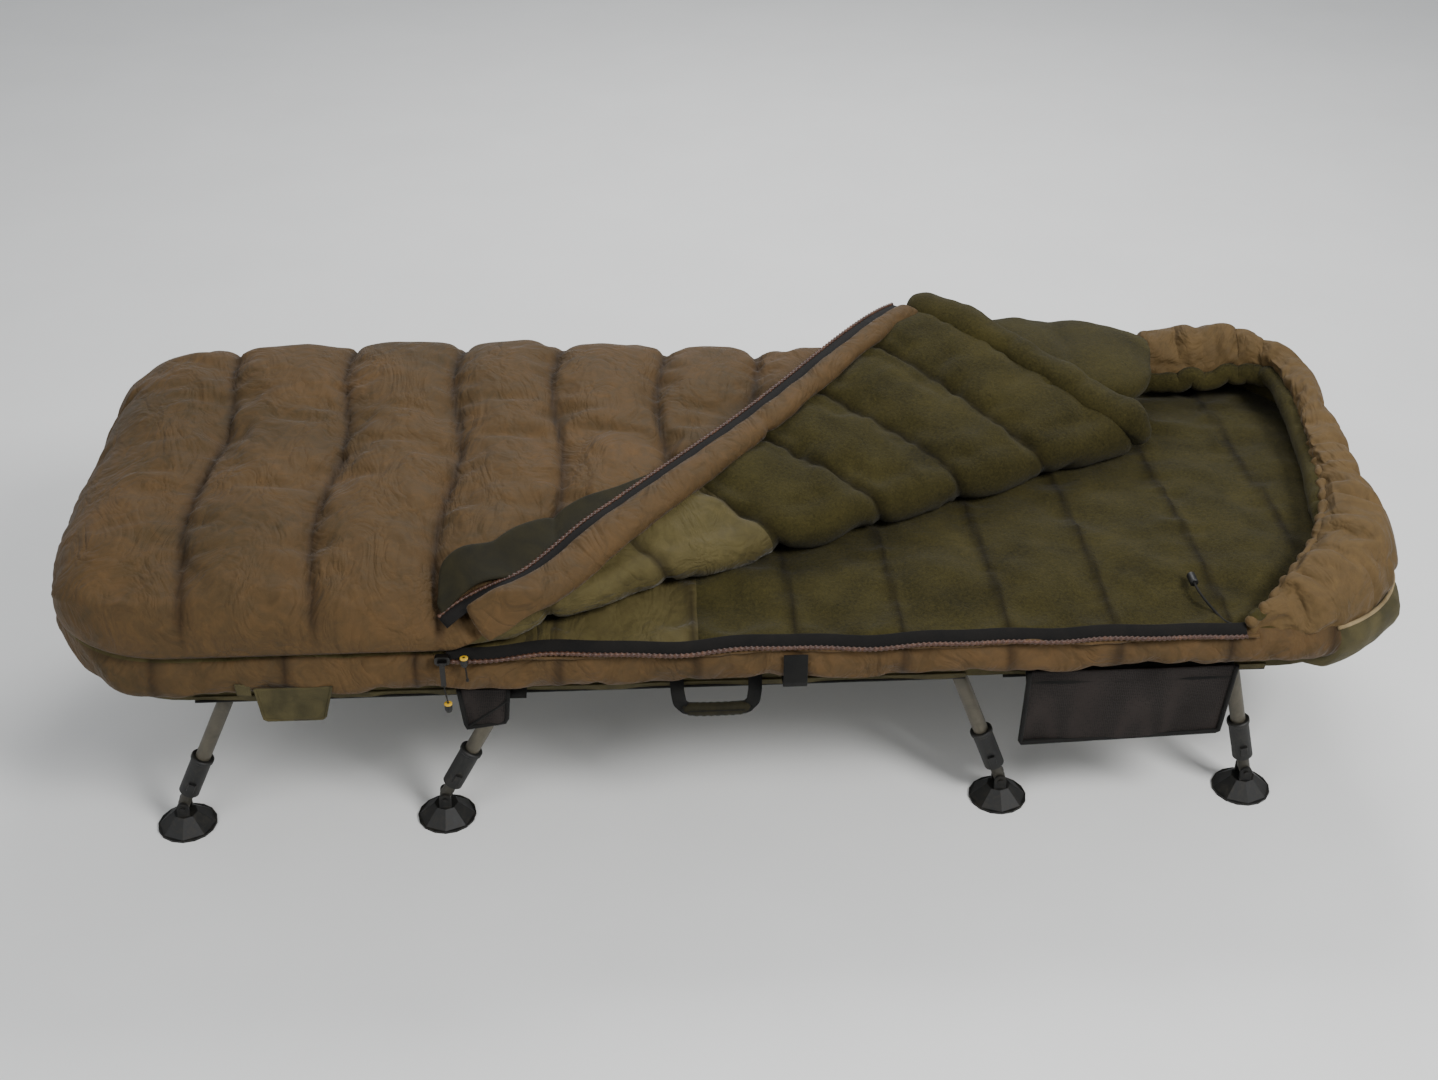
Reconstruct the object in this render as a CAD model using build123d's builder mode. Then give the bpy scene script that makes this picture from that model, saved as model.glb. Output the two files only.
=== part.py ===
"""A padded sleeping bag strapped to a folding three-section bedchair, in millimetres.

+X runs to the head end, -Y is the side with the open zip, +Z is up. The origin is on the
ground under the middle. Legs are numbered 1 to 4 from foot to head, near is -Y and far is +Y.
"""
import math
import os

from build123d import *

os.makedirs("parts", exist_ok=True)

# ---- bedchair frame ----
tube_d = 25
tube_r = tube_d / 2
stem_d = 20
rail_y = 340
rail_z = 302
hinge_x = 400
frame_end_x = 1005
frame_corner_r = 110
cross_tube_x = 268
end_cross_tube_x = 770
pin_d = 8
knuckle_gap = 15
plate_t = 3
running_gap = 0.08
plate_gap = 0.3
bolt_x = 315
bolt_z = 296

# ---- legs: x of the pivot bar, then the lean from the vertical towards +X ----
bar_z = 275
leg_y = 335
leg_bend_r = 25
legs = {1: (-815, -24.8), 2: (-364, -28.0), 3: (364, 21.0), 4: (818, 14.0)}
leg_body = {1: "foot", 2: "centre", 3: "centre", 4: "head"}
sides = {"near": -1, "far": 1}
ankle_z = 45
collar_length = 80
collar_above_ankle = 30
tube_above_ankle = 45
stem_length = 165
saddle_y = 300
saddle_t = 4
foot_d = 98

# ---- mattress ----
deck_z = 316
mattress_t = 50
mattress_half_y = 378
mattress_x = (-1039, 1047)
skirt_out_y = 374
skirt_in_y = 361
skirt_z = 288
skirt_end_x = 860
fold_half_angle = 29

# ---- sleeping bag ----
bag_x = (-1092, 1100)
bag_half_y = 430
bag_corner_r = 220
overhang_z = 326
overhang_t = 49
rim_z = 396
base_top_z = 420
spring_z = 430
quilt_t = 36
cover_crown = 105
flap_crown = 165
hood_crown = 88
crease_start = (-450, -430)
crease_end = (720, 38)
flap_tip = (389, 369)
soft_gap = 0.4
pocket_start_x = 930


def bag_outline(inset, z, height, mode=Mode.ADD):
    """The bag's plan outline, drawn in by inset and extruded up from z."""
    length = bag_x[1] - bag_x[0] - 2 * inset
    middle = (bag_x[0] + bag_x[1]) / 2
    with BuildSketch(Plane.XY.offset(z)) as outline:
        with Locations((middle, 0)):
            RectangleRounded(length, 2 * (bag_half_y - inset), bag_corner_r - inset)
    extrude(outline.sketch, amount=height, mode=mode)


def dome(inset, crown):
    """A closed solid arched across the bag and rounded at its ends, standing on the rim."""
    top_z = spring_z + crown
    with BuildPart() as solid:
        bag_outline(inset, rim_z + soft_gap, top_z + 20 - rim_z)
        with BuildSketch(Plane.YZ.offset(bag_x[0] - 10)):
            with Locations((0, spring_z)):
                Ellipse(bag_half_y - inset, crown)
            with Locations((0, (rim_z + spring_z) / 2)):
                Rectangle(2 * bag_half_y, spring_z - rim_z)
        extrude(amount=bag_x[1] - bag_x[0] + 20, mode=Mode.INTERSECT)
        with BuildSketch(Plane.XZ.offset(bag_half_y + 10)) as profile:
            with Locations(((bag_x[0] + bag_x[1]) / 2, top_z + 15 - 200)):
                Rectangle(bag_x[1] - bag_x[0] - 2 * inset, 400)
            fillet(profile.vertices().group_by(Axis.Y)[-1], crown)
        extrude(amount=-2 * bag_half_y - 20, mode=Mode.INTERSECT)
    return solid.part


def plan_cut(points):
    """Keep only what stands over the polygon."""
    with BuildSketch(Plane.XY) as polygon:
        with BuildLine():
            Polyline(points, close=True)
        make_face()
    extrude(polygon.sketch, amount=1000, mode=Mode.INTERSECT)


def fold_face(side, facing, gap=0.0):
    """A face through a hinge axis that leans away from it, so that the pads meet when folded.

    side is -1 at the foot hinge and +1 at the head hinge. facing is the side of the face that
    its normal points to, and gap moves the face along its normal.
    """
    lean = math.radians(fold_half_angle)
    normal = (facing * math.cos(lean), 0, -math.sin(lean))
    return Plane(origin=(side * hinge_x, 0, rail_z), z_dir=normal).offset(gap)


def keep_section(section):
    """Trim a full-length pad or quilt to the foot, centre or head section."""
    if section == "foot":
        split(bisect_by=fold_face(-1, -1), keep=Keep.TOP)
    if section == "head":
        split(bisect_by=fold_face(1, 1), keep=Keep.TOP)
    if section == "centre":
        split(bisect_by=fold_face(-1, 1), keep=Keep.TOP)
        split(bisect_by=fold_face(1, -1), keep=Keep.TOP)


def keep_fold(side):
    """Trim a full-length quilt to the wedge between two sections."""
    split(bisect_by=fold_face(side, -1, -soft_gap), keep=Keep.BOTTOM)
    split(bisect_by=fold_face(side, 1, -soft_gap), keep=Keep.BOTTOM)


def save(part, name):
    part.label = name
    export_step(part, f"parts/{name}.step")


# ---- rails of the three sections ----
def rod_along_y(points, radius, y_from, y_to, mode=Mode.ADD):
    """Round rods along Y at the given x and z."""
    with BuildSketch(Plane.XZ.offset(-y_from)) as rod_ends:
        with Locations(*points):
            Circle(radius)
    extrude(rod_ends.sketch, amount=-(y_to - y_from), mode=mode)


with BuildPart() as centre_frame:
    with BuildSketch(Plane.YZ.offset(-(hinge_x - knuckle_gap))):
        with Locations((-rail_y, rail_z), (rail_y, rail_z)):
            Circle(tube_r)
    extrude(amount=2 * (hinge_x - knuckle_gap))
    cross_tubes = [(-cross_tube_x, rail_z), (cross_tube_x, rail_z)]
    rod_along_y(cross_tubes, stem_d / 2, -rail_y + 4, rail_y - 4)
    bolts = [(-bolt_x, bolt_z), (bolt_x, bolt_z)]
    rod_along_y(bolts, pin_d / 2, -rail_y - tube_d, rail_y + tube_d, Mode.SUBTRACT)
save(centre_frame.part, "centre_frame")

for section, side in (("foot", -1), ("head", 1)):
    with BuildPart() as end_frame:
        with BuildLine(Plane.XY.offset(rail_z)) as bent_tube:
            FilletPolyline(
                (side * hinge_x, -rail_y),
                (side * frame_end_x, -rail_y),
                (side * frame_end_x, rail_y),
                (side * hinge_x, rail_y),
                radius=frame_corner_r,
            )
        with BuildSketch(Plane(origin=bent_tube.line @ 0, z_dir=bent_tube.line % 0)):
            Circle(tube_r)
        sweep()
        rod_along_y([(side * end_cross_tube_x, rail_z)], stem_d / 2, -rail_y, rail_y)
        for y in (-rail_y, rail_y):
            rod_along_y([(side * hinge_x, rail_z)], tube_r, y - tube_r + 0.5, y + tube_r - 0.5)
        hole = pin_d / 2 + running_gap
        hole_reach = rail_y + tube_d
        rod_along_y([(side * hinge_x, rail_z)], hole, -hole_reach, hole_reach, Mode.SUBTRACT)
    save(end_frame.part, f"{section}_frame")

# ---- hinge plates, with the hinge pins and the bolts that hold them to the centre rails ----
plate_in = tube_r + plate_gap
plate_out = plate_in + plate_t
with BuildPart() as hinge_brackets:
    for side in (-1, 1):
        for y in (-rail_y, rail_y):
            facing_out = 1 if y > 0 else -1
            for face in (-1, 1):
                inner, outer = sorted((face * plate_in, face * plate_out))
                drop = 24 if face == facing_out else 8
                with BuildSketch(Plane.XZ.offset(-(y + inner))):
                    with BuildLine():
                        Polyline(
                            (side * hinge_x, rail_z + 12),
                            (side * (hinge_x + 11), rail_z + 7),
                            (side * (hinge_x + 11), rail_z - 7),
                            (side * hinge_x, rail_z - 12),
                            (side * bolt_x, bolt_z - drop),
                            (side * (bolt_x - 18), bolt_z - drop + 8),
                            (side * (bolt_x - 18), rail_z + 10),
                            close=True,
                        )
                    make_face()
                extrude(amount=-(outer - inner))
            reach = plate_out + 4
            rod_along_y([(side * hinge_x, rail_z)], pin_d / 2, y - reach, y + reach)
            rod_along_y([(side * bolt_x, bolt_z)], pin_d / 2, y - reach, y + reach)
            for head in (-plate_out - 4, plate_out):
                heads = [(side * hinge_x, rail_z), (side * bolt_x, bolt_z)]
                rod_along_y(heads, pin_d * 0.8, y + head, y + head + 4)
save(hinge_brackets.part, "hinge_brackets")

# ---- saddles that hang each leg bar from the rails ----
for section in ("foot", "centre", "head"):
    bars = [legs[n][0] for n in legs if leg_body[n] == section]
    with BuildPart() as saddles:
        for x in bars:
            for y in sides.values():
                near_y = y * saddle_y
                with BuildSketch(Plane.XZ.offset(-near_y)):
                    with BuildLine():
                        Polyline(
                            (x - 13, rail_z + 11),
                            (x + 13, rail_z + 11),
                            (x + 20, bar_z),
                            (x + 12, bar_z - 18),
                            (x - 12, bar_z - 18),
                            (x - 20, bar_z),
                            close=True,
                        )
                    make_face()
                extrude(amount=-y * saddle_t)
                stub_end = y * (rail_y - plate_out if section == "centre" else rail_y)
                low, high = sorted((near_y, stub_end))
                rod_along_y([(x, rail_z)], 8, low, high)
        with BuildSketch(Plane.YZ.offset(-1200)):
            with Locations((-rail_y, rail_z), (rail_y, rail_z)):
                Circle(tube_r)
        extrude(amount=2400, mode=Mode.SUBTRACT)
        holes = [(x, bar_z) for x in bars]
        rod_along_y(holes, tube_r + running_gap, -rail_y, rail_y, Mode.SUBTRACT)
    save(saddles.part, f"leg_saddles_{section}")


# ---- legs ----
def leg_length(number):
    """Distance down the leg from the pivot bar to the ankle pin."""
    return (bar_z - ankle_z) / math.cos(math.radians(legs[number][1]))


def leg_point(number, y, down):
    """A point on a leg's axis, at a distance down it from the pivot bar."""
    x, lean = legs[number]
    angle = math.radians(lean)
    return (x + down * math.sin(angle), y, bar_z - down * math.cos(angle))


def leg_up(number):
    """The direction up the leg."""
    angle = math.radians(legs[number][1])
    return (-math.sin(angle), 0, math.cos(angle))


for n in legs:
    length = leg_length(n)
    tube_end = length - tube_above_ankle
    with BuildPart() as leg_frame:
        with BuildLine() as u_tube:
            FilletPolyline(
                leg_point(n, -leg_y, tube_end),
                leg_point(n, -leg_y, 0),
                leg_point(n, leg_y, 0),
                leg_point(n, leg_y, tube_end),
                radius=leg_bend_r,
            )
        with BuildSketch(Plane(origin=u_tube.line @ 0, z_dir=u_tube.line % 0)):
            Circle(tube_r)
        sweep()
        for y in (-leg_y, leg_y):
            with BuildSketch(Plane(origin=leg_point(n, y, tube_end), z_dir=leg_up(n))):
                Circle(stem_d / 2 + running_gap)
            extrude(amount=tube_end - 2 * leg_bend_r, mode=Mode.SUBTRACT)
    save(leg_frame.part, f"leg_frame_{n}")

    for side_name, side in sides.items():
        y = side * leg_y

        with BuildPart() as lock_collar:
            low = length - collar_above_ankle
            collar_foot = Plane(origin=leg_point(n, y, low), x_dir=(0, side, 0), z_dir=leg_up(n))
            with BuildSketch(collar_foot):
                Circle(17)
            extrude(amount=collar_length)
            with BuildSketch(collar_foot.offset(collar_length - 8)):
                Circle(19)
            extrude(amount=8)
            chamfer(lock_collar.edges().group_by(SortBy.LENGTH)[-1], 1.5)
            with BuildSketch(collar_foot.offset(14)):
                with Locations((17, 0)):
                    RectangleRounded(8, 12, 2)
            extrude(amount=16)
            with BuildSketch(collar_foot):
                Circle(stem_d / 2 + running_gap)
            extrude(amount=collar_length, mode=Mode.SUBTRACT)
            with BuildSketch(collar_foot.offset(tube_above_ankle - collar_above_ankle - 0.5)):
                Circle(tube_r + running_gap)
            extrude(amount=collar_length, mode=Mode.SUBTRACT)
        save(lock_collar.part, f"lock_collar_{n}_{side_name}")

        with BuildPart() as leg_stem:
            ankle = leg_point(n, y, length)
            with BuildSketch(Plane(origin=ankle, z_dir=leg_up(n))):
                Circle(stem_d / 2)
            extrude(amount=stem_length)
            low, high = y - stem_d / 2, y + stem_d / 2
            rod_along_y([(ankle[0], ankle_z)], stem_d / 2 - 0.5, low + 0.5, high - 0.5)
            rod_along_y([(ankle[0], ankle_z)], pin_d / 2 + running_gap, low, high, Mode.SUBTRACT)
        save(leg_stem.part, f"leg_stem_{n}_{side_name}")

        with BuildPart() as mud_foot:
            with BuildSketch(Plane.XY):
                with Locations((ankle[0], y)):
                    RegularPolygon(foot_d / 2, 16)
            extrude(amount=4)
            with BuildSketch(Plane.XY.offset(4)):
                with Locations((ankle[0], y)):
                    RegularPolygon(foot_d / 2 - 2, 8)
            with BuildSketch(Plane.XY.offset(28)):
                with Locations((ankle[0], y)):
                    RegularPolygon(20, 8)
            loft()
            for cheek in (-1, 1):
                inner = y + cheek * (stem_d / 2 + 0.5)
                outer = inner + cheek * 5
                with BuildSketch(Plane.XZ.offset(-inner)):
                    with Locations((ankle[0], ankle_z - 11)):
                        Rectangle(20, 22)
                    with Locations((ankle[0], ankle_z)):
                        Circle(10)
                extrude(amount=inner - outer)
            rod_along_y([(ankle[0], ankle_z)], pin_d / 2, y - stem_d / 2 - 9, y + stem_d / 2 + 9)
        save(mud_foot.part, f"mud_foot_{n}_{side_name}")

# ---- mattress pads, each with skirts that hide the rails ----
mattress_mid = sum(mattress_x) / 2
mattress_length = mattress_x[1] - mattress_x[0]
mattress_corner_r = bag_corner_r - overhang_t
for section in ("foot", "centre", "head"):
    with BuildPart() as mattress:
        with BuildSketch(Plane.XY.offset(deck_z)):
            with Locations((mattress_mid, 0)):
                RectangleRounded(mattress_length, 2 * mattress_half_y, mattress_corner_r)
        extrude(amount=mattress_t)
        skirt_y = (skirt_in_y + skirt_out_y) / 2
        skirt_span = skirt_end_x - hinge_x - 30
        skirt_mid = (skirt_end_x + hinge_x + 30) / 2
        with BuildSketch(Plane.XY.offset(skirt_z)):
            with Locations((0, -skirt_y), (0, skirt_y)):
                Rectangle(2 * (hinge_x - 30), skirt_out_y - skirt_in_y)
            for x in (-skirt_mid, skirt_mid):
                with Locations((x, -skirt_y), (x, skirt_y)):
                    Rectangle(skirt_span, skirt_out_y - skirt_in_y)
        extrude(amount=deck_z - skirt_z)
        keep_section(section)
    save(mattress.part, f"mattress_{section}")

# ---- full-length shapes of the sleeping bag, trimmed to their sections below ----
with BuildPart() as base_shape:
    bag_outline(0, overhang_z, rim_z - overhang_z)
    bag_outline(62, rim_z, base_top_z - rim_z)
    chamfer(base_shape.edges().group_by(Axis.Z)[-1], 20)
    bag_outline(overhang_t, overhang_z, deck_z + mattress_t + soft_gap - overhang_z, Mode.SUBTRACT)
    with BuildSketch(Plane.XY.offset(overhang_z)):
        with Locations((pocket_start_x + 200, 0)):
            Rectangle(400, 2 * bag_half_y)
    extrude(amount=deck_z + mattress_t + soft_gap - overhang_z, mode=Mode.SUBTRACT)

with BuildPart() as cover_shape:
    add(dome(0, cover_crown))
    add(dome(quilt_t, cover_crown - quilt_t), mode=Mode.SUBTRACT)
    plan_cut(
        [
            (bag_x[0] - 10, -bag_half_y - 10),
            (crease_start[0], -bag_half_y - 10),
            crease_start,
            crease_end,
            (crease_end[0], bag_half_y + 10),
            (bag_x[0] - 10, bag_half_y + 10),
        ]
    )

with BuildPart() as flap_shape:
    add(dome(0, flap_crown))
    add(dome(-1, cover_crown + 1), mode=Mode.SUBTRACT)
    plan_cut([(crease_start[0] + 80, crease_start[1] + 34), crease_end, flap_tip])

for section in ("foot", "centre", "head"):
    with BuildPart() as base_quilt:
        add(base_shape.part)
        keep_section(section)
    save(base_quilt.part, f"base_quilt_{section}")
    with BuildPart() as cover:
        add(cover_shape.part)
        keep_section(section)
    save(cover.part, f"cover_{section}")

for section in ("centre", "head"):
    with BuildPart() as folded_flap:
        add(flap_shape.part)
        keep_section(section)
    save(folded_flap.part, f"folded_flap_{section}")

for section, side in (("foot", -1), ("head", 1)):
    with BuildPart() as bag_fold:
        add(base_shape.part)
        add(cover_shape.part)
        if section == "head":
            add(flap_shape.part)
        keep_fold(side)
    save(bag_fold.part, f"bag_{section}_fold")

# ---- hood, with its mouth open to the foot and upward ----
mouth_x = 780
mouth_reach = 255
mouth_half_y = 370
with BuildPart() as hood:
    add(dome(0, hood_crown))
    add(dome(quilt_t, hood_crown - quilt_t), mode=Mode.SUBTRACT)
    hood_start = mouth_x + 20
    plan_cut([(hood_start, -500), (1200, -500), (1200, 500), (hood_start, 500)])
    with BuildSketch(Plane.XY):
        with Locations((mouth_x, 0)):
            Ellipse(mouth_reach, mouth_half_y)
    extrude(amount=1000, mode=Mode.SUBTRACT)
save(hood.part, "hood")

# ---- pocket that holds the bag to the head end of the mattress ----
with BuildPart() as head_pocket:
    pocket_z = 302
    pocket_height = deck_z + mattress_t - pocket_z
    bag_outline(3, pocket_z, pocket_height)
    bag_outline(overhang_t, pocket_z, pocket_height, Mode.SUBTRACT)
    with BuildSketch(Plane.XY):
        with Locations((pocket_start_x / 2 - 600, 0)):
            Rectangle(pocket_start_x + 1210, 1000)
    extrude(amount=1000, mode=Mode.SUBTRACT)
save(head_pocket.part, "head_pocket")

# ---- zip ----
zip_y = -bag_half_y
slider_x = -457
slider_z = 400
pull_pin = (slider_z - 1, zip_y - 16.5)

with BuildPart() as zip_track:
    with BuildSketch(Plane.XY.offset(rim_z + soft_gap)):
        with Locations((0, zip_y + 6)):
            Rectangle(2 * (hinge_x - 70), 8)
    extrude(amount=11)
save(zip_track.part, "zip_track")

with BuildPart() as zip_slider:
    with BuildSketch(Plane.XZ.offset(-zip_y + 0.5)):
        with Locations((slider_x, slider_z)):
            RectangleRounded(24, 15, 5)
    extrude(amount=10)
    with BuildSketch(Plane.YZ.offset(slider_x)) as ears:
        with Locations((pull_pin[1] + 3.5, pull_pin[0])):
            Rectangle(7, 5)
        with Locations((pull_pin[1], pull_pin[0])):
            Circle(2.5)
    extrude(amount=7, both=True)
    with BuildSketch(Plane.YZ.offset(slider_x)):
        with Locations((pull_pin[1] - 1, pull_pin[0])):
            Rectangle(10, 12)
    extrude(amount=4.5, both=True, mode=Mode.SUBTRACT)
    with BuildSketch(Plane.YZ.offset(slider_x)):
        with Locations((pull_pin[1], pull_pin[0])):
            Circle(1)
    extrude(amount=7, both=True)
save(zip_slider.part, "zip_slider")

with BuildPart() as zip_pull:
    with BuildSketch(Plane.YZ.offset(slider_x)):
        with Locations((pull_pin[1], pull_pin[0])):
            Circle(2.6)
        with Locations((pull_pin[1], pull_pin[0] - 21)):
            Rectangle(2.6, 42)
        with Locations((pull_pin[1], pull_pin[0])):
            Circle(1 + running_gap, mode=Mode.SUBTRACT)
    extrude(amount=4, both=True)
save(zip_pull.part, "zip_pull")


# ---- pockets, strap, handle and skirt on the near side ----
def side_panel(y_outer, thickness, outline):
    """A flat panel hanging in an XZ plane, drawn as its outline."""
    with BuildSketch(Plane.XZ.offset(-y_outer)) as panel:
        with BuildLine():
            Polyline(outline, close=True)
        make_face()
    extrude(panel.sketch, amount=-thickness)


panel_y = -402
with BuildPart() as mesh_pocket:
    side_panel(panel_y, 12, [(470, 315), (806, 315), (800, 190), (780, 172), (466, 166)])
    side_panel(panel_y, 27.5, [(470, 315), (806, 315), (806, 296), (470, 296)])
save(mesh_pocket.part, "mesh_pocket")

with BuildPart() as side_pocket:
    side_panel(panel_y, 10, [(-441, 315), (-362, 315), (-368, 246), (-434, 236)])
    side_panel(panel_y, 27.5, [(-366, 315), (-335, 315), (-335, 298), (-366, 298)])
save(side_pocket.part, "side_pocket")

handle_y = -401
handle_z = 262
handle_x = (-92, 26)
with BuildPart() as carry_handle:
    with BuildSketch(Plane.YZ.offset(handle_x[0])):
        with Locations((handle_y, handle_z)):
            Circle(11)
    extrude(amount=handle_x[1] - handle_x[0])
    for x in handle_x:
        side_panel(handle_y - 1.5, 3, [(x - 12, 262), (x + 12, 262), (x + 12, 312), (x - 12, 312)])
        side_panel(handle_y - 1.5, 28, [(x - 12, 312), (x + 12, 312), (x + 12, 309), (x - 12, 309)])
save(carry_handle.part, "carry_handle")

strap_x = (70, 108)
with BuildPart() as retention_strap:
    strap_t = 2.2
    with BuildSketch(Plane.YZ.offset(strap_x[0])):
        with BuildLine():
            Polyline(
                (zip_y - 0.3, 388),
                (zip_y - 0.3, overhang_z - 0.3),
                (-mattress_half_y - 0.3, overhang_z - 0.3),
                (-mattress_half_y - 0.3, overhang_z - 0.3 - strap_t),
                (zip_y - 0.3 - strap_t, overhang_z - 0.3 - strap_t),
                (zip_y - 0.3 - strap_t, 388),
                close=True,
            )
        make_face()
    extrude(amount=strap_x[1] - strap_x[0])
save(retention_strap.part, "retention_strap")

with BuildPart() as foot_skirt:
    side_panel(zip_y - 3.3, 3, [(-750, 352), (-632, 352), (-648, 290), (-742, 290)])
save(foot_skirt.part, "foot_skirt")

# ---- drawcord of the hood, lying on the base quilt, and its toggle ----
cord_d = 4
toggle_centre = (738, -318, 427.5)
with BuildPart() as hood_drawcord:
    with BuildLine() as cord_route:
        FilletPolyline(
            (800, -410, 399.2),
            (776, -410, 399.2),
            (757, -374, 408.5),
            (738, -352, 427.5),
            (738, -330, 427.5),
            radius=6,
        )
    with BuildSketch(Plane(origin=cord_route.line @ 0, z_dir=cord_route.line % 0)):
        Circle(cord_d / 2)
    sweep()
save(hood_drawcord.part, "hood_drawcord")

with BuildPart() as hood_toggle:
    with BuildSketch(Plane.XZ.offset(-toggle_centre[1] + 12)):
        with Locations((toggle_centre[0], toggle_centre[2])):
            Circle(7)
    extrude(amount=-24)
    chamfer(hood_toggle.edges(), 1.5)
save(hood_toggle.part, "hood_toggle")
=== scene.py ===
"""The looks of a hooded sleeping bag on a folding bedchair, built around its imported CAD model.

Metres, in the model's frame: +X to the head end, -Y to the open zip, +Z up.
"""

import math

import bpy
import numpy as np
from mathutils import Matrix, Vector, noise


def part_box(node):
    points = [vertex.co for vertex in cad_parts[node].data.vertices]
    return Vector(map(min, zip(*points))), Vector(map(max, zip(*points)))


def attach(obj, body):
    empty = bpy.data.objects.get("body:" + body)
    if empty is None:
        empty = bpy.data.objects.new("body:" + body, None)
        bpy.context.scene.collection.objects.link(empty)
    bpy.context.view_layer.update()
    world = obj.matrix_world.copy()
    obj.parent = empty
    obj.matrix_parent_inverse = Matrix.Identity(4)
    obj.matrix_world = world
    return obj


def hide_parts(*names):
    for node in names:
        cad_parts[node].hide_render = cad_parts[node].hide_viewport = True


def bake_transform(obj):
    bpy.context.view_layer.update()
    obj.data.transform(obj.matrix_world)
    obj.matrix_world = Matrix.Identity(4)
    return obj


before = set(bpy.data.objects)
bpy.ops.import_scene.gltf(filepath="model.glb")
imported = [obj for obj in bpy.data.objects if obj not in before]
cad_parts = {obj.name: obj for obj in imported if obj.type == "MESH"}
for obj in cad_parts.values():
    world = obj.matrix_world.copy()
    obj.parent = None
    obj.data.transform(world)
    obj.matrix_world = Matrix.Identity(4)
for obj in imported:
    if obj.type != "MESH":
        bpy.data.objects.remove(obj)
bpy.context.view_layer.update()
scene = bpy.context.scene

# ---- places taken from the frame ----
BAG_X0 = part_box("base_quilt_foot")[0].x
BAG_X1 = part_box("hood")[1].x
HALF_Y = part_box("base_quilt_centre")[1].y
BASE_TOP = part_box("base_quilt_centre")[1].z
DECK_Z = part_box("mattress_foot")[0].z
MATTRESS_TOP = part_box("mattress_centre")[1].z
RIM_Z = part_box("hood")[0].z
HINGE_X = 0.4
CORNER_R = 0.22
CREASE_START = np.array([-0.45, -0.43])
CREASE_END = np.array([0.703, 0.0954])
COVER_SEAMS = [-0.86, -0.655, -0.46, -0.285, -0.10, 0.07, 0.243, 0.40, 0.564]
BASE_SEAMS = [-0.9, -0.7, -0.5, -0.28, -0.065, 0.095, 0.262, 0.43, 0.60, 0.78, 0.95]
LINING_CHANGE_X = -0.065
ZIP_END_X = 0.80


# ---- small tools ----
def srgb(r, g, b, gain=1.0):
    """A colour given as 0 to 255 sRGB, as linear RGBA."""
    linear = [((c / 255 + 0.055) / 1.055) ** 2.4 if c > 10 else c / 3294.6 for c in (r, g, b)]
    return (*[c * gain for c in linear], 1.0)


def smooth(t):
    t = np.clip(t, 0, 1)
    return t * t * (3 - 2 * t)


def unit(v):
    return v / np.maximum(np.linalg.norm(v, axis=-1, keepdims=True), 1e-9)


def fbm(points, scale, seed=0.0):
    """Smooth noise from -1 to 1 at each point."""
    shifted = np.asarray(points, float).reshape(-1, 3) * scale + seed
    values = [noise.noise(Vector(p)) for p in shifted]
    return np.array(values).reshape(np.asarray(points).shape[:-1])


def half_width(x, inset=0.0, corner=CORNER_R):
    """Half of the bag's plan width at x, with its rounded corners."""
    radius = corner - inset
    past = np.maximum(BAG_X0 + inset + radius - x, x - (BAG_X1 - inset - radius))
    past = np.clip(past, 0, radius)
    return HALF_Y - inset - radius + np.sqrt(radius * radius - past * past)


def channel(x, seams, sharp=0.5):
    """0 on each seam and 1 halfway between two."""
    edges = np.array([seams[0] - 0.22, *seams, seams[-1] + 0.19])
    i = np.clip(np.searchsorted(edges, x) - 1, 0, len(edges) - 2)
    u = np.clip((x - edges[i]) / (edges[i + 1] - edges[i]), 0, 1)
    return (4 * u * (1 - u)) ** sharp


# ---- materials ----
SOCKETS = {
    "metallic": "Metallic",
    "sheen_weight": "Sheen Weight",
    "sheen_roughness": "Sheen Roughness",
    "specular_ior_level": "Specular IOR Level",
}


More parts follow.
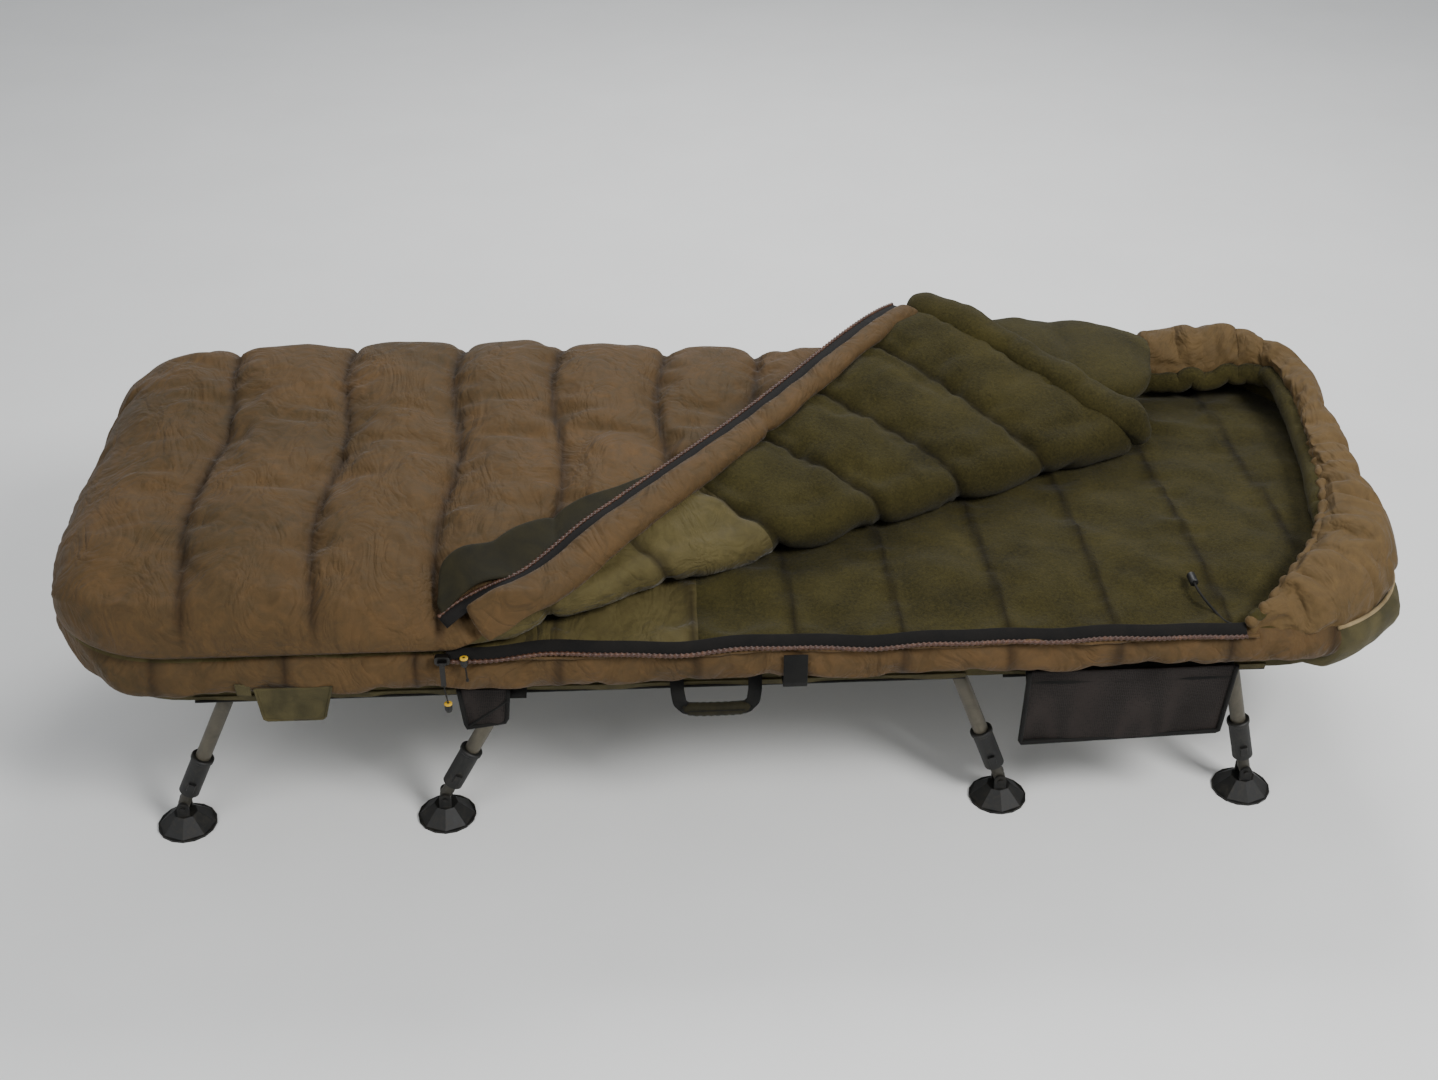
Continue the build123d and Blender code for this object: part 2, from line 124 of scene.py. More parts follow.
class Shader:
    """A material whose nodes are added by short calls."""

    def __init__(self, name):
        self.material = bpy.data.materials.new(name)
        self.material.use_nodes = True
        self.tree = self.material.node_tree
        self.bsdf = self.tree.nodes["Principled BSDF"]
        self.coords = self.tree.nodes.new("ShaderNodeTexCoord").outputs["Object"]
        self.normal = None

    def node(self, kind, inputs=None, **settings):
        made = self.tree.nodes.new(kind)
        for key, value in settings.items():
            setattr(made, key, value)
        for key, value in (inputs or {}).items():
            if isinstance(value, bpy.types.NodeSocket):
                self.tree.links.new(value, made.inputs[key])
            else:
                made.inputs[key].default_value = value
        return made

    def stretched(self, factors):
        """The coordinates scaled by a factor along each axis."""
        return self.node(
            "ShaderNodeMapping", {"Vector": self.coords, "Scale": factors}
        ).outputs["Vector"]

    def noise(self, scale, detail=3.0, distortion=0.0, vector=None, rough=0.55):
        return self.node(
            "ShaderNodeTexNoise",
            {
                "Vector": vector or self.coords,
                "Scale": scale,
                "Detail": detail,
                "Distortion": distortion,
                "Roughness": rough,
            },
        ).outputs["Fac"]

    def wave(self, scale, direction, distortion=0.6):
        return self.node(
            "ShaderNodeTexWave",
            {"Vector": self.coords, "Scale": scale, "Distortion": distortion, "Detail": 1.0},
            bands_direction=direction,
        ).outputs["Fac"]

    def math(self, operation, a, b):
        return self.node("ShaderNodeMath", {0: a, 1: b}, operation=operation).outputs[0]

    def ramp(self, value, stops):
        made = self.node("ShaderNodeValToRGB", {"Fac": value})
        elements = made.color_ramp.elements
        while len(elements) < len(stops):
            elements.new(0.5)
        for element, (position, colour) in zip(elements, stops):
            element.position = position
            element.color = colour
        return made.outputs["Color"]

    def mix(self, factor, a, b, blend="MIX"):
        made = self.node("ShaderNodeMix", data_type="RGBA", blend_type=blend)
        for key, value in ((0, factor), (6, a), (7, b)):
            if isinstance(value, bpy.types.NodeSocket):
                self.tree.links.new(value, made.inputs[key])
            else:
                made.inputs[key].default_value = value
        return made.outputs[2]

    def bump(self, height, strength, distance):
        inputs = {"Height": height, "Strength": strength, "Distance": distance}
        if self.normal:
            inputs["Normal"] = self.normal
        self.normal = self.node("ShaderNodeBump", inputs).outputs["Normal"]

    def roughness(self, value, low, high):
        out = self.node(
            "ShaderNodeMapRange", {"Value": value, "To Min": low, "To Max": high}
        ).outputs["Result"]
        self.tree.links.new(out, self.bsdf.inputs["Roughness"])

    def finish(self, colour, **sockets):
        # Painted shade: the seam mark multiplies the colour towards dark brown, standing in for the shade in
        # the quilting grooves.
        seam = self.node("ShaderNodeAttribute", attribute_name="seam").outputs["Fac"]
        colour = self.mix(self.math("MULTIPLY", seam, 0.8), colour, (0.2, 0.17, 0.14, 1), "MULTIPLY")
        self.tree.links.new(colour, self.bsdf.inputs["Base Color"])
        if self.normal:
            self.tree.links.new(self.normal, self.bsdf.inputs["Normal"])
        for key, value in sockets.items():
            self.bsdf.inputs[SOCKETS[key]].default_value = value
        return self.material


def shell_material(name, dark, light, sheen=0.05):
    """Tightly woven peach-skin: two-tone, softly shiny, finely crinkled."""
    s = Shader(name)
    patches = s.noise(3.2, 2.0, 0.4)
    crinkle = s.noise(38.0, 5.0, 0.9, rough=0.62)
    nap = s.noise(1900.0, 1.0)
    tone = s.math("ADD", s.math("MULTIPLY", patches, 0.5), s.math("MULTIPLY", crinkle, 0.5))
    colour = s.ramp(tone, [(0.25, dark), (0.72, light)])
    colour = s.mix(s.math("MULTIPLY", nap, 0.35), colour, dark)
    s.roughness(crinkle, 0.62, 0.85)
    creases = s.noise(11.0, 3.0, 1.6, vector=s.stretched((1.0, 0.55, 1.0)))
    s.bump(s.math("ABSOLUTE", s.math("SUBTRACT", creases, 0.5), 0.0), 0.55, 0.03)
    s.bump(crinkle, 0.5, 0.003)
    s.bump(s.noise(120.0, 3.0, 0.4), 0.25, 0.0012)
    s.bump(s.math("MULTIPLY", s.wave(900.0, "X"), s.wave(900.0, "Z")), 0.12, 0.0003)
    return s.finish(colour, sheen_weight=sheen, sheen_roughness=0.4, specular_ior_level=0.16)


def fleece_material(name, dark, light):
    """Brushed pile with short clumps."""
    s = Shader(name)
    clumps = s.noise(210.0, 4.0, 0.8, rough=0.7)
    broad = s.noise(9.0, 4.0, 0.5)
    tone = s.math("ADD", s.math("MULTIPLY", clumps, 0.55), s.math("MULTIPLY", broad, 0.45))
    colour = s.ramp(tone, [(0.33, dark), (0.66, light)])
    s.roughness(clumps, 0.9, 1.0)
    s.bump(broad, 0.25, 0.006)
    s.bump(clumps, 0.75, 0.0022)
    s.bump(s.noise(900.0, 2.0), 0.5, 0.0006)
    return s.finish(colour, sheen_weight=0.04, sheen_roughness=0.5, specular_ior_level=0.1)


def woven_material(name, dark, light, period=1400.0, rough=0.75, sheen=0.03):
    """Plain weave, as on webbing, tape and packcloth."""
    s = Shader(name)
    across = s.wave(period, "X", 0.2)
    along = s.wave(period, "Z", 0.2)
    weave = s.math("MULTIPLY", across, along)
    worn = s.noise(24.0, 4.0, 0.6)
    tone = s.math("ADD", s.math("MULTIPLY", worn, 0.75), s.math("MULTIPLY", weave, 0.25))
    colour = s.ramp(tone, [(0.28, dark), (0.62, light)])
    s.roughness(worn, rough - 0.1, min(rough + 0.1, 1.0))
    s.bump(s.noise(60.0, 4.0, 0.5), 0.3, 0.0018)
    s.bump(weave, 0.4, 0.0004)
    return s.finish(colour, sheen_weight=sheen, sheen_roughness=0.5, specular_ior_level=0.18)


def net_material(name, dark, light):
    """Knitted mesh: small round hollows in a dark ground. It isn't see-through."""
    s = Shader(name)
    holes = s.node(
        "ShaderNodeTexVoronoi", {"Vector": s.coords, "Scale": 330.0, "Randomness": 0.25}
    ).outputs["Distance"]
    worn = s.noise(16.0, 3.0)
    knit = s.ramp(holes, [(0.25, dark), (0.5, light)])
    colour = s.mix(s.math("MULTIPLY", worn, 0.4), knit, dark)
    s.roughness(worn, 0.6, 0.85)
    s.bump(holes, 0.8, 0.001)
    return s.finish(colour, specular_ior_level=0.2)


def moulded_material(name, colour, scuff, rough=0.5):
    """Grained moulded plastic with pale scuffs."""
    s = Shader(name)
    grain = s.noise(700.0, 3.0)
    marks = s.noise(45.0, 6.0, 1.5, rough=0.75)
    shade = s.ramp(marks, [(0.48, colour), (0.74, scuff)])
    s.roughness(marks, rough - 0.08, rough + 0.2)
    s.bump(marks, 0.15, 0.0006)
    s.bump(grain, 0.3, 0.0003)
    return s.finish(shade, specular_ior_level=0.45)


def painted_material(name, colour, worn, metallic=0.25, rough=0.38):
    """Satin powder coat with orange peel, dust and rubbed places."""
    s = Shader(name)
    dust = s.noise(14.0, 6.0, 0.8, rough=0.7)
    peel = s.noise(520.0, 2.0)
    rubbed = s.noise(70.0, 5.0, 1.0, rough=0.8)
    shade = s.ramp(dust, [(0.3, colour), (0.75, worn)])
    shade = s.mix(s.ramp(rubbed, [(0.62, (0, 0, 0, 1)), (0.72, (0.5, 0.5, 0.5, 1))]), shade, worn)
    s.roughness(dust, rough, rough + 0.22)
    s.bump(peel, 0.12, 0.0003)
    return s.finish(shade, metallic=metallic, specular_ior_level=0.5)


def metal_material(name, colour, rough=0.28):
    """Bright plated steel, lightly brushed."""
    s = Shader(name)
    brushed = s.noise(160.0, 4.0, 0.2, vector=s.stretched((1.0, 1.0, 12.0)))
    shade = s.ramp(brushed, [(0.3, colour), (0.8, tuple(0.7 * c for c in colour[:3]) + (1.0,))])
    s.roughness(brushed, rough, rough + 0.2)
    s.bump(brushed, 0.1, 0.0002)
    return s.finish(shade, metallic=1.0)


BROWN_DARK, BROWN_LIGHT = srgb(54, 45, 27), srgb(99, 74, 45)
M = {
    "shell": shell_material("shell_cloth", BROWN_DARK, BROWN_LIGHT),
    "hood": shell_material("hood_cloth", srgb(66, 53, 31), srgb(106, 84, 53)),
    "satin": shell_material("satin_lining", srgb(60, 53, 28), srgb(96, 86, 51), 0.1),
    "fleece": fleece_material("fleece_lining", srgb(32, 29, 12), srgb(64, 58, 29)),
    "olive": woven_material("mattress_cloth", srgb(50, 46, 26), srgb(84, 76, 48)),
    "facing": woven_material("facing_cloth", srgb(24, 22, 10), srgb(42, 38, 20)),
    "webbing": woven_material("webbing_weave", srgb(6, 6, 5), srgb(22, 21, 18), 700.0, 0.7),
    "tape": woven_material("zip_tape_weave", srgb(6, 5, 4), srgb(22, 19, 16), 1100.0, 0.75),
    "net": net_material("pocket_net", srgb(12, 10, 9), srgb(42, 36, 33)),
    "coil": moulded_material("zip_coil_nylon", srgb(58, 34, 22), srgb(100, 66, 44), 0.42),
    "plastic": moulded_material("moulded_black", srgb(11, 11, 9), srgb(40, 37, 31)),
    "rubber": moulded_material("foot_plastic_black", srgb(7, 7, 5), srgb(38, 34, 26), 0.55),
    "yellow": moulded_material("bead_ring_yellow", srgb(190, 150, 30), srgb(210, 180, 70)),
    "frame": painted_material("frame_powder_coat", srgb(58, 54, 44), srgb(98, 92, 78)),
    "stem": painted_material("stem_paint", srgb(44, 42, 36), srgb(82, 78, 68), 0.35),
    "bracket": metal_material("plated_steel", (0.42, 0.41, 0.38, 1.0)),
    "slider": metal_material("dark_enamel", (0.05, 0.048, 0.045, 1.0), 0.35),
    "piping": woven_material("piping_cloth", srgb(110, 94, 66), srgb(150, 132, 98)),
    "cord": woven_material("braided_cord", srgb(12, 12, 11), srgb(40, 38, 34), 500.0),
}


# ---- mesh builders ----
def mesh_piece(name, verts, faces, materials, face_slots=None):
    mesh = bpy.data.meshes.new(name)
    mesh.from_pydata(np.asarray(verts, float).reshape(-1, 3).tolist(), [], faces)
    for m in materials:
        mesh.materials.append(M[m])
    if face_slots is not None:
        mesh.polygons.foreach_set("material_index", np.asarray(face_slots, np.int32))
    mesh.polygons.foreach_set("use_smooth", np.ones(len(mesh.polygons), bool))
    mesh.update()
    piece = bpy.data.objects.new(name, mesh)
    scene.collection.objects.link(piece)
    return piece


def coordinates(piece):
    co = np.zeros(len(piece.data.vertices) * 3)
    piece.data.vertices.foreach_get("co", co)
    return co.reshape(-1, 3)


def set_coordinates(piece, co):
    piece.data.vertices.foreach_set("co", np.asarray(co, np.float32).ravel())
    piece.data.update()


def loft(name, rings, materials, slot_of=None, capped=True):
    """A closed tube-like piece through rings of points, all of the same count."""
    rings = np.asarray(rings, float)
    n, m = rings.shape[:2]
    faces, slots = [], []
    for i in range(n - 1):
        for j in range(m):
            k = (j + 1) % m
            faces.append((i * m + j, i * m + k, (i + 1) * m + k, (i + 1) * m + j))
            slots.append(slot_of(i, j) if slot_of else 0)
    if capped:
        faces.append(tuple(range(m))[::-1])
        faces.append(tuple((n - 1) * m + j for j in range(m)))
        slots += [slots[0], slots[-1]]
    return mesh_piece(name, rings, faces, materials, slots)


def quilt(name, middle, thickness, materials, slot_of, outer_share=0.5):
    """A padded layer around a grid of middle points: an outer and an inner sheet, joined at the edges."""
    rows, cols = middle.shape[:2]
    along = np.gradient(middle, axis=0)
    across = np.gradient(middle, axis=1)
    up = unit(np.cross(along, across))
    outer = middle + up * thickness[..., None] * outer_share
    inner = middle - up * thickness[..., None] * (1 - outer_share)
    verts = np.concatenate([outer.reshape(-1, 3), inner.reshape(-1, 3)])
    size = rows * cols
    faces, slots = [], []
    for i in range(rows - 1):
        for j in range(cols - 1):
            a, b, c, d = (i * cols + j, (i + 1) * cols + j, (i + 1) * cols + j + 1, i * cols + j + 1)
            faces.append((a, b, c, d))
            slots.append(slot_of(i, j, True))
            faces.append((a + size, d + size, c + size, b + size))
            slots.append(slot_of(i, j, False))
    rim = [i * cols for i in range(rows)]
    rim += [(rows - 1) * cols + j for j in range(1, cols)]
    rim += [i * cols + cols - 1 for i in range(rows - 2, -1, -1)]
    rim += list(range(cols - 2, 0, -1))
    for a, b in zip(rim, rim[1:] + rim[:1]):
        faces.append((b, a, a + size, b + size))
        slots.append(slots[0])
    return mesh_piece(name, verts, faces, materials, slots)


def frames_along(path):
    """Two directions across a path at each of its points, turning as little as they can."""
    path = np.asarray(path, float)
    tangent = unit(np.gradient(path, axis=0))
    side = np.zeros_like(path)
    guess = np.array([0.0, 0.0, 1.0]) if abs(tangent[0][2]) < 0.9 else np.array([1.0, 0.0, 0.0])
    for i, t in enumerate(tangent):
        guess = unit(guess - t * (guess @ t))
        side[i] = guess
    return side, np.cross(tangent, side)


def tube(name, path, radius, materials, sides=14, flat=1.0, up=None):
    """A round or flattened tube along a path. radius may change along it."""
    path = np.asarray(path, float)
    radius = np.broadcast_to(radius, len(path))
    one, two = frames_along(path)
    if up is not None:
        tangent = unit(np.gradient(path, axis=0))
        one = unit(up - tangent * np.sum(up * tangent, axis=-1, keepdims=True))
        two = np.cross(tangent, one)
    angles = np.linspace(0, 2 * math.pi, sides, endpoint=False)
    rings = [
        p + r * (flat * np.outer(np.cos(angles), a) + np.outer(np.sin(angles), b))
        for p, r, a, b in zip(path, radius, one, two)
    ]
    return loft(name, rings, materials)


def ribbon(name, path, across, up, width, thickness, materials):
    """A flat strip along a path, with slightly rounded edges."""
    path, across, up = np.asarray(path), unit(np.asarray(across)), unit(np.asarray(up))
    width = np.broadcast_to(width, len(path))[:, None]
    corners = [(-0.5, -0.3), (-0.47, -0.5), (0.47, -0.5), (0.5, -0.3)]
    corners += [(0.5, 0.3), (0.47, 0.5), (-0.47, 0.5), (-0.5, 0.3)]
    ring = [path + a * width * across + b * thickness * up for a, b in corners]
    return loft(name, np.stack(ring, axis=1), materials)


def applied(piece):
    """Bakes the piece's modifiers into its mesh."""
    graph = bpy.context.evaluated_depsgraph_get()
    mesh = bpy.data.meshes.new_from_object(piece.evaluated_get(graph))
    piece.modifiers.clear()
    piece.data = mesh
    return piece


def subdivided(piece, levels=1):
    piece.modifiers.new("subdivision", "SUBSURF").levels = levels
    return applied(piece)


def mark(piece, name, values):
    """Stores a value or a vector for each point of a piece."""
    values = np.asarray(values, np.float32)
    vector = values.ndim == 2
    kind, field = ("FLOAT_VECTOR", "vector") if vector else ("FLOAT", "value")
    made = piece.data.attributes.new(name, kind, "POINT")
    made.data.foreach_set(field, values.ravel())


def pucker(piece, seams, strength):
    """Draws the cloth into short folds along its seams and paints shade onto the seams themselves, as a
    darker line in each groove with a softer dark band beside it.

    The piece's "flat" mark holds each point's place along the seams' axis, its place along a seam,
    and how much of the folds it takes.
    """
    places = np.zeros(len(piece.data.vertices) * 3)
    piece.data.attributes["flat"].data.foreach_get("vector", places)
    a, b, share = places.reshape(-1, 3).T
    distance = np.min(np.abs(a[:, None] - np.array(seams)), axis=1)
    side = np.round(b / 3.0) * 7.0
    short = fbm(np.stack([a * 9, b * 52, side], axis=-1), 1.0) * np.exp(-distance / 0.020)
    longer = fbm(np.stack([a * 8 + b * 5, b * 21 - a * 6, side + 3], axis=-1), 1.0)
    longer *= np.exp(-distance / 0.055)
    slanting = fbm(np.stack([(a - b) * 4.5, (a + b) * 15, side + 9], axis=-1), 1.0)
    fine = fbm(np.stack([a * 34 + b * 12, b * 46, side + 5], axis=-1), 1.0)
    height = 0.0050 * short + 0.0060 * longer + 0.0036 * slanting + 0.0012 * fine
    height -= 0.0045 * np.exp(-((distance / 0.007) ** 2))
    normals = np.zeros(len(piece.data.vertices) * 3)
    piece.data.vertex_normals.foreach_get("vector", normals)
    moved = coordinates(piece) + normals.reshape(-1, 3) * (height * share * strength)[:, None]
    set_coordinates(piece, moved)
    # Painted shade: a dark line on each seam and a fainter dark band beside it, kept as the seam mark, stand
    # in for the shade in the seam grooves.
    line = 0.8 * np.exp(-((distance / 0.0065) ** 2)) + 0.22 * np.exp(-distance / 0.022)
    mark(piece, "seam", np.clip(line, 0, 1) * np.clip(share * 3, 0, 1))


def puff(piece, pinned, pressure=2.0, swell=0.05, frames=14, cap=0.012):
    """Inflates a sewn piece as cloth, held at its pinned seams, so that it puckers as filled fabric does."""
    rest = coordinates(piece)
    group = piece.vertex_groups.new(name="seams")
    group.add(np.flatnonzero(pinned).tolist(), 1.0, "REPLACE")
    cloth = piece.modifiers.new("cloth", "CLOTH")
    s = cloth.settings
    s.quality = 4
    s.mass = 0.2
    s.tension_stiffness = 12
    s.compression_stiffness = 12
    s.shear_stiffness = 4
    s.bending_stiffness = 0.08
    s.shrink_min = -swell
    s.use_pressure = True
    s.uniform_pressure_force = pressure
    s.effector_weights.gravity = 0
    s.vertex_group_mass = "seams"
    cloth.point_cache.frame_start = 1
    cloth.point_cache.frame_end = frames
    for f in range(1, frames + 1):
        scene.frame_set(f)
    graph = bpy.context.evaluated_depsgraph_get()
    moved = np.zeros(len(rest) * 3)
    piece.evaluated_get(graph).data.vertices.foreach_get("co", moved)
    piece.modifiers.clear()
    piece.vertex_groups.clear()
    scene.frame_set(1)
    step = moved.reshape(-1, 3) - rest
    length = np.linalg.norm(step, axis=1, keepdims=True)
    set_coordinates(piece, rest + step * np.minimum(1, cap / np.maximum(length, 1e-9)))
    return piece


def across_hinges(piece):
    """Splits a long piece at the middle of the centre section into a foot half and a head half.

    Both halves keep the whole piece's shading at the split, so that it doesn't show.
    """
    mesh = piece.data
    normals = np.zeros(len(mesh.vertices) * 3)
    mesh.vertex_normals.foreach_get("vector", normals)
    normals = normals.reshape(-1, 3)
    centres = np.zeros(len(mesh.polygons) * 3)
    mesh.polygons.foreach_get("center", centres)
    centre_x = centres.reshape(-1, 3)[:, 0]
    co = coordinates(piece)
    # The seam mark is painted seam shade; both halves keep it.
    seam = np.zeros(len(co))
    if "seam" in mesh.attributes:
        mesh.attributes["seam"].data.foreach_get("value", seam)
    halves = []
    for side in ("foot", "head"):
        chosen = np.flatnonzero(centre_x < 0) if side == "foot" else np.flatnonzero(centre_x >= 0)
        used = sorted({v for i in chosen for v in mesh.polygons[i].vertices})
        index = {v: k for k, v in enumerate(used)}
        faces = [tuple(index[v] for v in mesh.polygons[i].vertices) for i in chosen]
        slots = [mesh.polygons[i].material_index for i in chosen]
        half_mesh = bpy.data.meshes.new(f"{piece.name}_{side}")
        half_mesh.from_pydata(co[used].tolist(), [], faces)
        for m in mesh.materials:
            half_mesh.materials.append(m)
        half_mesh.polygons.foreach_set("material_index", slots)
        half_mesh.polygons.foreach_set("use_smooth", np.ones(len(faces), bool))
        half_mesh.update()
        half_mesh.normals_split_custom_set_from_vertices(normals[used].tolist())
        half = bpy.data.objects.new(f"{piece.name}_{side}", half_mesh)
        scene.collection.objects.link(half)
        mark(half, "seam", seam[used])
        if side == "foot":
            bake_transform(half)
        else:
            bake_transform(half)
        halves.append(half)
    bpy.data.objects.remove(piece)
    return halves


# ---- camera, light and floor ----
def make_stage():
    camera = bpy.data.objects.new("camera", bpy.data.cameras.new("camera"))
    scene.collection.objects.link(camera)
    camera.data.sensor_width = 36
    camera.data.lens = 47.57
    camera.location = (-0.155, -2.804, 2.145)
    heading, dip = math.radians(3), math.radians(33)
    forward = (
        math.sin(heading) * math.cos(dip),
        math.cos(heading) * math.cos(dip),
        -math.sin(dip),
    )
    camera.rotation_euler = Vector(forward).to_track_quat("-Z", "Y").to_euler()
    scene.camera = camera
    bpy.ops.mesh.primitive_plane_add(size=30)
    floor = bpy.context.object
    floor.name = "floor"
    s = Shader("floor_paint")
    tone = s.noise(3.0, 4.0)
    shade = s.ramp(tone, [(0.2, srgb(228, 228, 226)), (0.8, srgb(234, 234, 232))])
    floor.data.materials.append(s.finish(shade))
    lights = (
        ("key_light", (2.4, -2.6, 3.6), 210, 1.4),
        ("fill_light", (-2.8, -2.8, 2.8), 70, 2.6),
        ("back_light", (0.6, 2.8, 3.4), 120, 1.8),
    )
    for name, place, power, size in lights:
        lamp = bpy.data.objects.new(name, bpy.data.lights.new(name, "AREA"))
        scene.collection.objects.link(lamp)
        lamp.data.energy = power
        lamp.data.size = size
        lamp.location = place
        lamp.rotation_euler = (Vector((0, 0, 0.4)) - Vector(place)).to_track_quat("-Z", "Y").to_euler()
    world = bpy.data.worlds.new("studio")
    scene.world = world
    world.use_nodes = True
    world.node_tree.nodes["Background"].inputs["Color"].default_value = (0.9, 0.94, 1.0, 1)
    world.node_tree.nodes["Background"].inputs["Strength"].default_value = 0.42


# ---- the folded cover: one quilt, closed over the feet and folded back along a slanting crease ----
CREASE = unit(CREASE_END - CREASE_START)
CREASE_OUT = np.array([CREASE[1], -CREASE[0]])
COVER_RIM = RIM_Z + 0.012


def crease_distance(p):
    """Distance in plan from the part of the crease line past its start."""
    rel = p - CREASE_START
    along = rel @ CREASE
    out = rel @ CREASE_OUT
    return np.hypot(np.minimum(along, 0), out)


def cover_width(x, side):
    """Half of the cover's plan width. Its far foot corner is fuller than the near one."""
    far = half_width(x, 0.008, 0.17)
    near = half_width(x, 0.004, CORNER_R)
    return np.where(side > 0, far, near)


def cover_height(p):
    """Height of the middle of the cover's lower layer over a plan point."""
    x, y = p[..., 0], p[..., 1]
    crown = 0.466 + 0.040 * smooth((0.15 - x) / 0.55) + 0.020 * smooth(y / 0.4)
    low = BASE_TOP + 0.018
    near_crease = np.exp(-crease_distance(p) / 0.11)
    top = low + (crown - low) * (1 - near_crease)
    width = cover_width(x, y)
    across = np.clip(1 - np.abs(np.clip(y / width, -1, 1)) ** 4, 0, 1) ** (1 / 3.2)
    foot_end = np.clip((BAG_X0 + 0.24 - x) / 0.24, 0, 1)
    lengthwise = np.clip(1 - foot_end**2.4, 0, 1) ** (1 / 2.2)
    return COVER_RIM + (top - COVER_RIM) * across * lengthwise


def cover_top(p):
    """Height of the closed cover's outer surface over a plan point."""
    return cover_height(p) + 0.72 * (0.006 + 0.036 * channel(p[..., 0], COVER_SEAMS, 0.33)) + 0.008


def fold_radius(along):
    return 0.014 + 0.011 * smooth(along / 0.9)


def folded(p, lift=0.0):
    """Where a point of the flat cover lies once the cover is folded back along its crease."""
    rel = p - CREASE_START
    along = rel @ CREASE
    out = rel @ CREASE_OUT
    radius = fold_radius(along)
    turn = np.clip(out / radius, 0, math.pi)
    past = np.maximum(out - math.pi * radius, 0)
    offset = np.where(out <= 0, out, radius * np.sin(turn) - past)
    plan = CREASE_START + along[..., None] * CREASE + offset[..., None] * CREASE_OUT
    rise = radius * (1 - np.cos(turn))
    loft_up = 0.062 * smooth(past / 0.5) * smooth(along / 0.8)
    height = cover_height(plan) + rise + np.where(out > 0, loft_up, 0) + lift
    return np.concatenate([plan, height[..., None]], axis=-1)


COVER_END_X = 0.735


def make_cover():
    xs = np.concatenate(
        [
            BAG_X0 + 0.2 * np.linspace(0, 1, 18) ** 1.6,
            np.arange(BAG_X0 + 0.215, COVER_END_X, 0.0145),
            [COVER_END_X],
        ]
    )
    vs = np.sin(np.linspace(-1, 1, 71) * math.pi / 2 * 0.985) / math.sin(math.pi / 2 * 0.985)
    vs = 0.45 * vs + 0.55 * np.linspace(-1, 1, 71)
    a, v = np.meshgrid(xs, vs, indexing="ij")
    flat = np.stack([a, v * cover_width(a, v)], axis=-1)
    middle = folded(flat)
    wander = a + 0.012 * np.sin(v * 5 + a * 3)
    puffed = channel(wander, COVER_SEAMS, 0.33)
    edge = np.clip((1 - np.abs(v)) / 0.06, 0, 1) ** 0.5
    ends = np.clip((a - BAG_X0) / 0.05, 0, 1) ** 0.5 * np.clip((COVER_END_X - a) / 0.02, 0, 1) ** 0.5
    thickness = 0.006 + 0.032 * puffed * edge * ends
    thickness = thickness * (1 + 0.12 * fbm(middle, 9.0))

    def slot_of(i, j, outer):
        if outer:
            return 0
        return 1 if a[i, j] < LINING_CHANGE_X + 0.12 else 2

    share = 0.5 + 0.22 * (1 - smooth(((flat - CREASE_START) @ CREASE_OUT + 0.12) / 0.12))
    piece = quilt("cover_quilt", middle, thickness, ["shell", "satin", "fleece"], slot_of, share[..., None])
    on_seam = np.min(np.abs(wander[..., None] - np.array(COVER_SEAMS)), axis=-1) < 0.0075
    at_edge = (v > 0.975) | (v < -0.93) | (a < BAG_X0 + 0.012) | (a > COVER_END_X - 0.006)
    held = (on_seam | at_edge).ravel()
    puff(piece, np.concatenate([held, held]), pressure=2.5, swell=0.07, cap=0.008)
    fade = np.clip((1 - np.abs(v)) / 0.1, 0, 1) * np.clip((COVER_END_X - a) / 0.05, 0, 1)
    flat_places = np.stack([wander, flat[..., 1], fade], axis=-1).reshape(-1, 3)
    mark(piece, "flat", np.concatenate([flat_places, flat_places + [0, 3.0, 0]]))
    subdivided(piece)
    pucker(piece, COVER_SEAMS, 1.0)
    halves = across_hinges(piece)
    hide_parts("cover_foot", "cover_centre", "bag_foot_fold")
    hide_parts("cover_head", "folded_flap_centre", "folded_flap_head", "bag_head_fold")


def zip_line(xs):
    """The folded flap's zip edge at flat places xs, and the level way in over the flap from it."""
    start = np.array([CREASE_START[0] - 0.004, -0.424, COVER_RIM + 0.022])
    turn_x = -0.29
    at = np.append(xs, [turn_x, turn_x + 0.01])
    edge = folded(np.stack([at, np.full(len(at), -HALF_Y)], axis=-1))
    anchor = edge[-2]
    edge = edge[:-2]
    share = np.clip((xs - CREASE_START[0]) / (turn_x - CREASE_START[0]), -0.1, 1)[:, None]
    path = np.where(xs[:, None] < turn_x, start * (1 - share) + anchor * share, edge)
    path[:, 2] = np.maximum(path[:, 2], cover_top(path[:, :2]))
    for k in range(3):
        path[:, k] = softened(path[:, k], 14)
    along = unit(np.gradient(path, axis=0) * [1, 1, 0])
    inward = np.stack([along[:, 1], -along[:, 0], np.zeros(len(xs))], axis=-1)
    return path + [0, 0, 0.006], inward


def over_near_edge(points):
    """Bends what reaches past the bag's near edge down over it."""
    past = np.clip(-HALF_Y + 0.004 - points[..., 1], 0, None)
    points[..., 1] += past * 0.72
    points[..., 2] -= past * 0.85
    return points


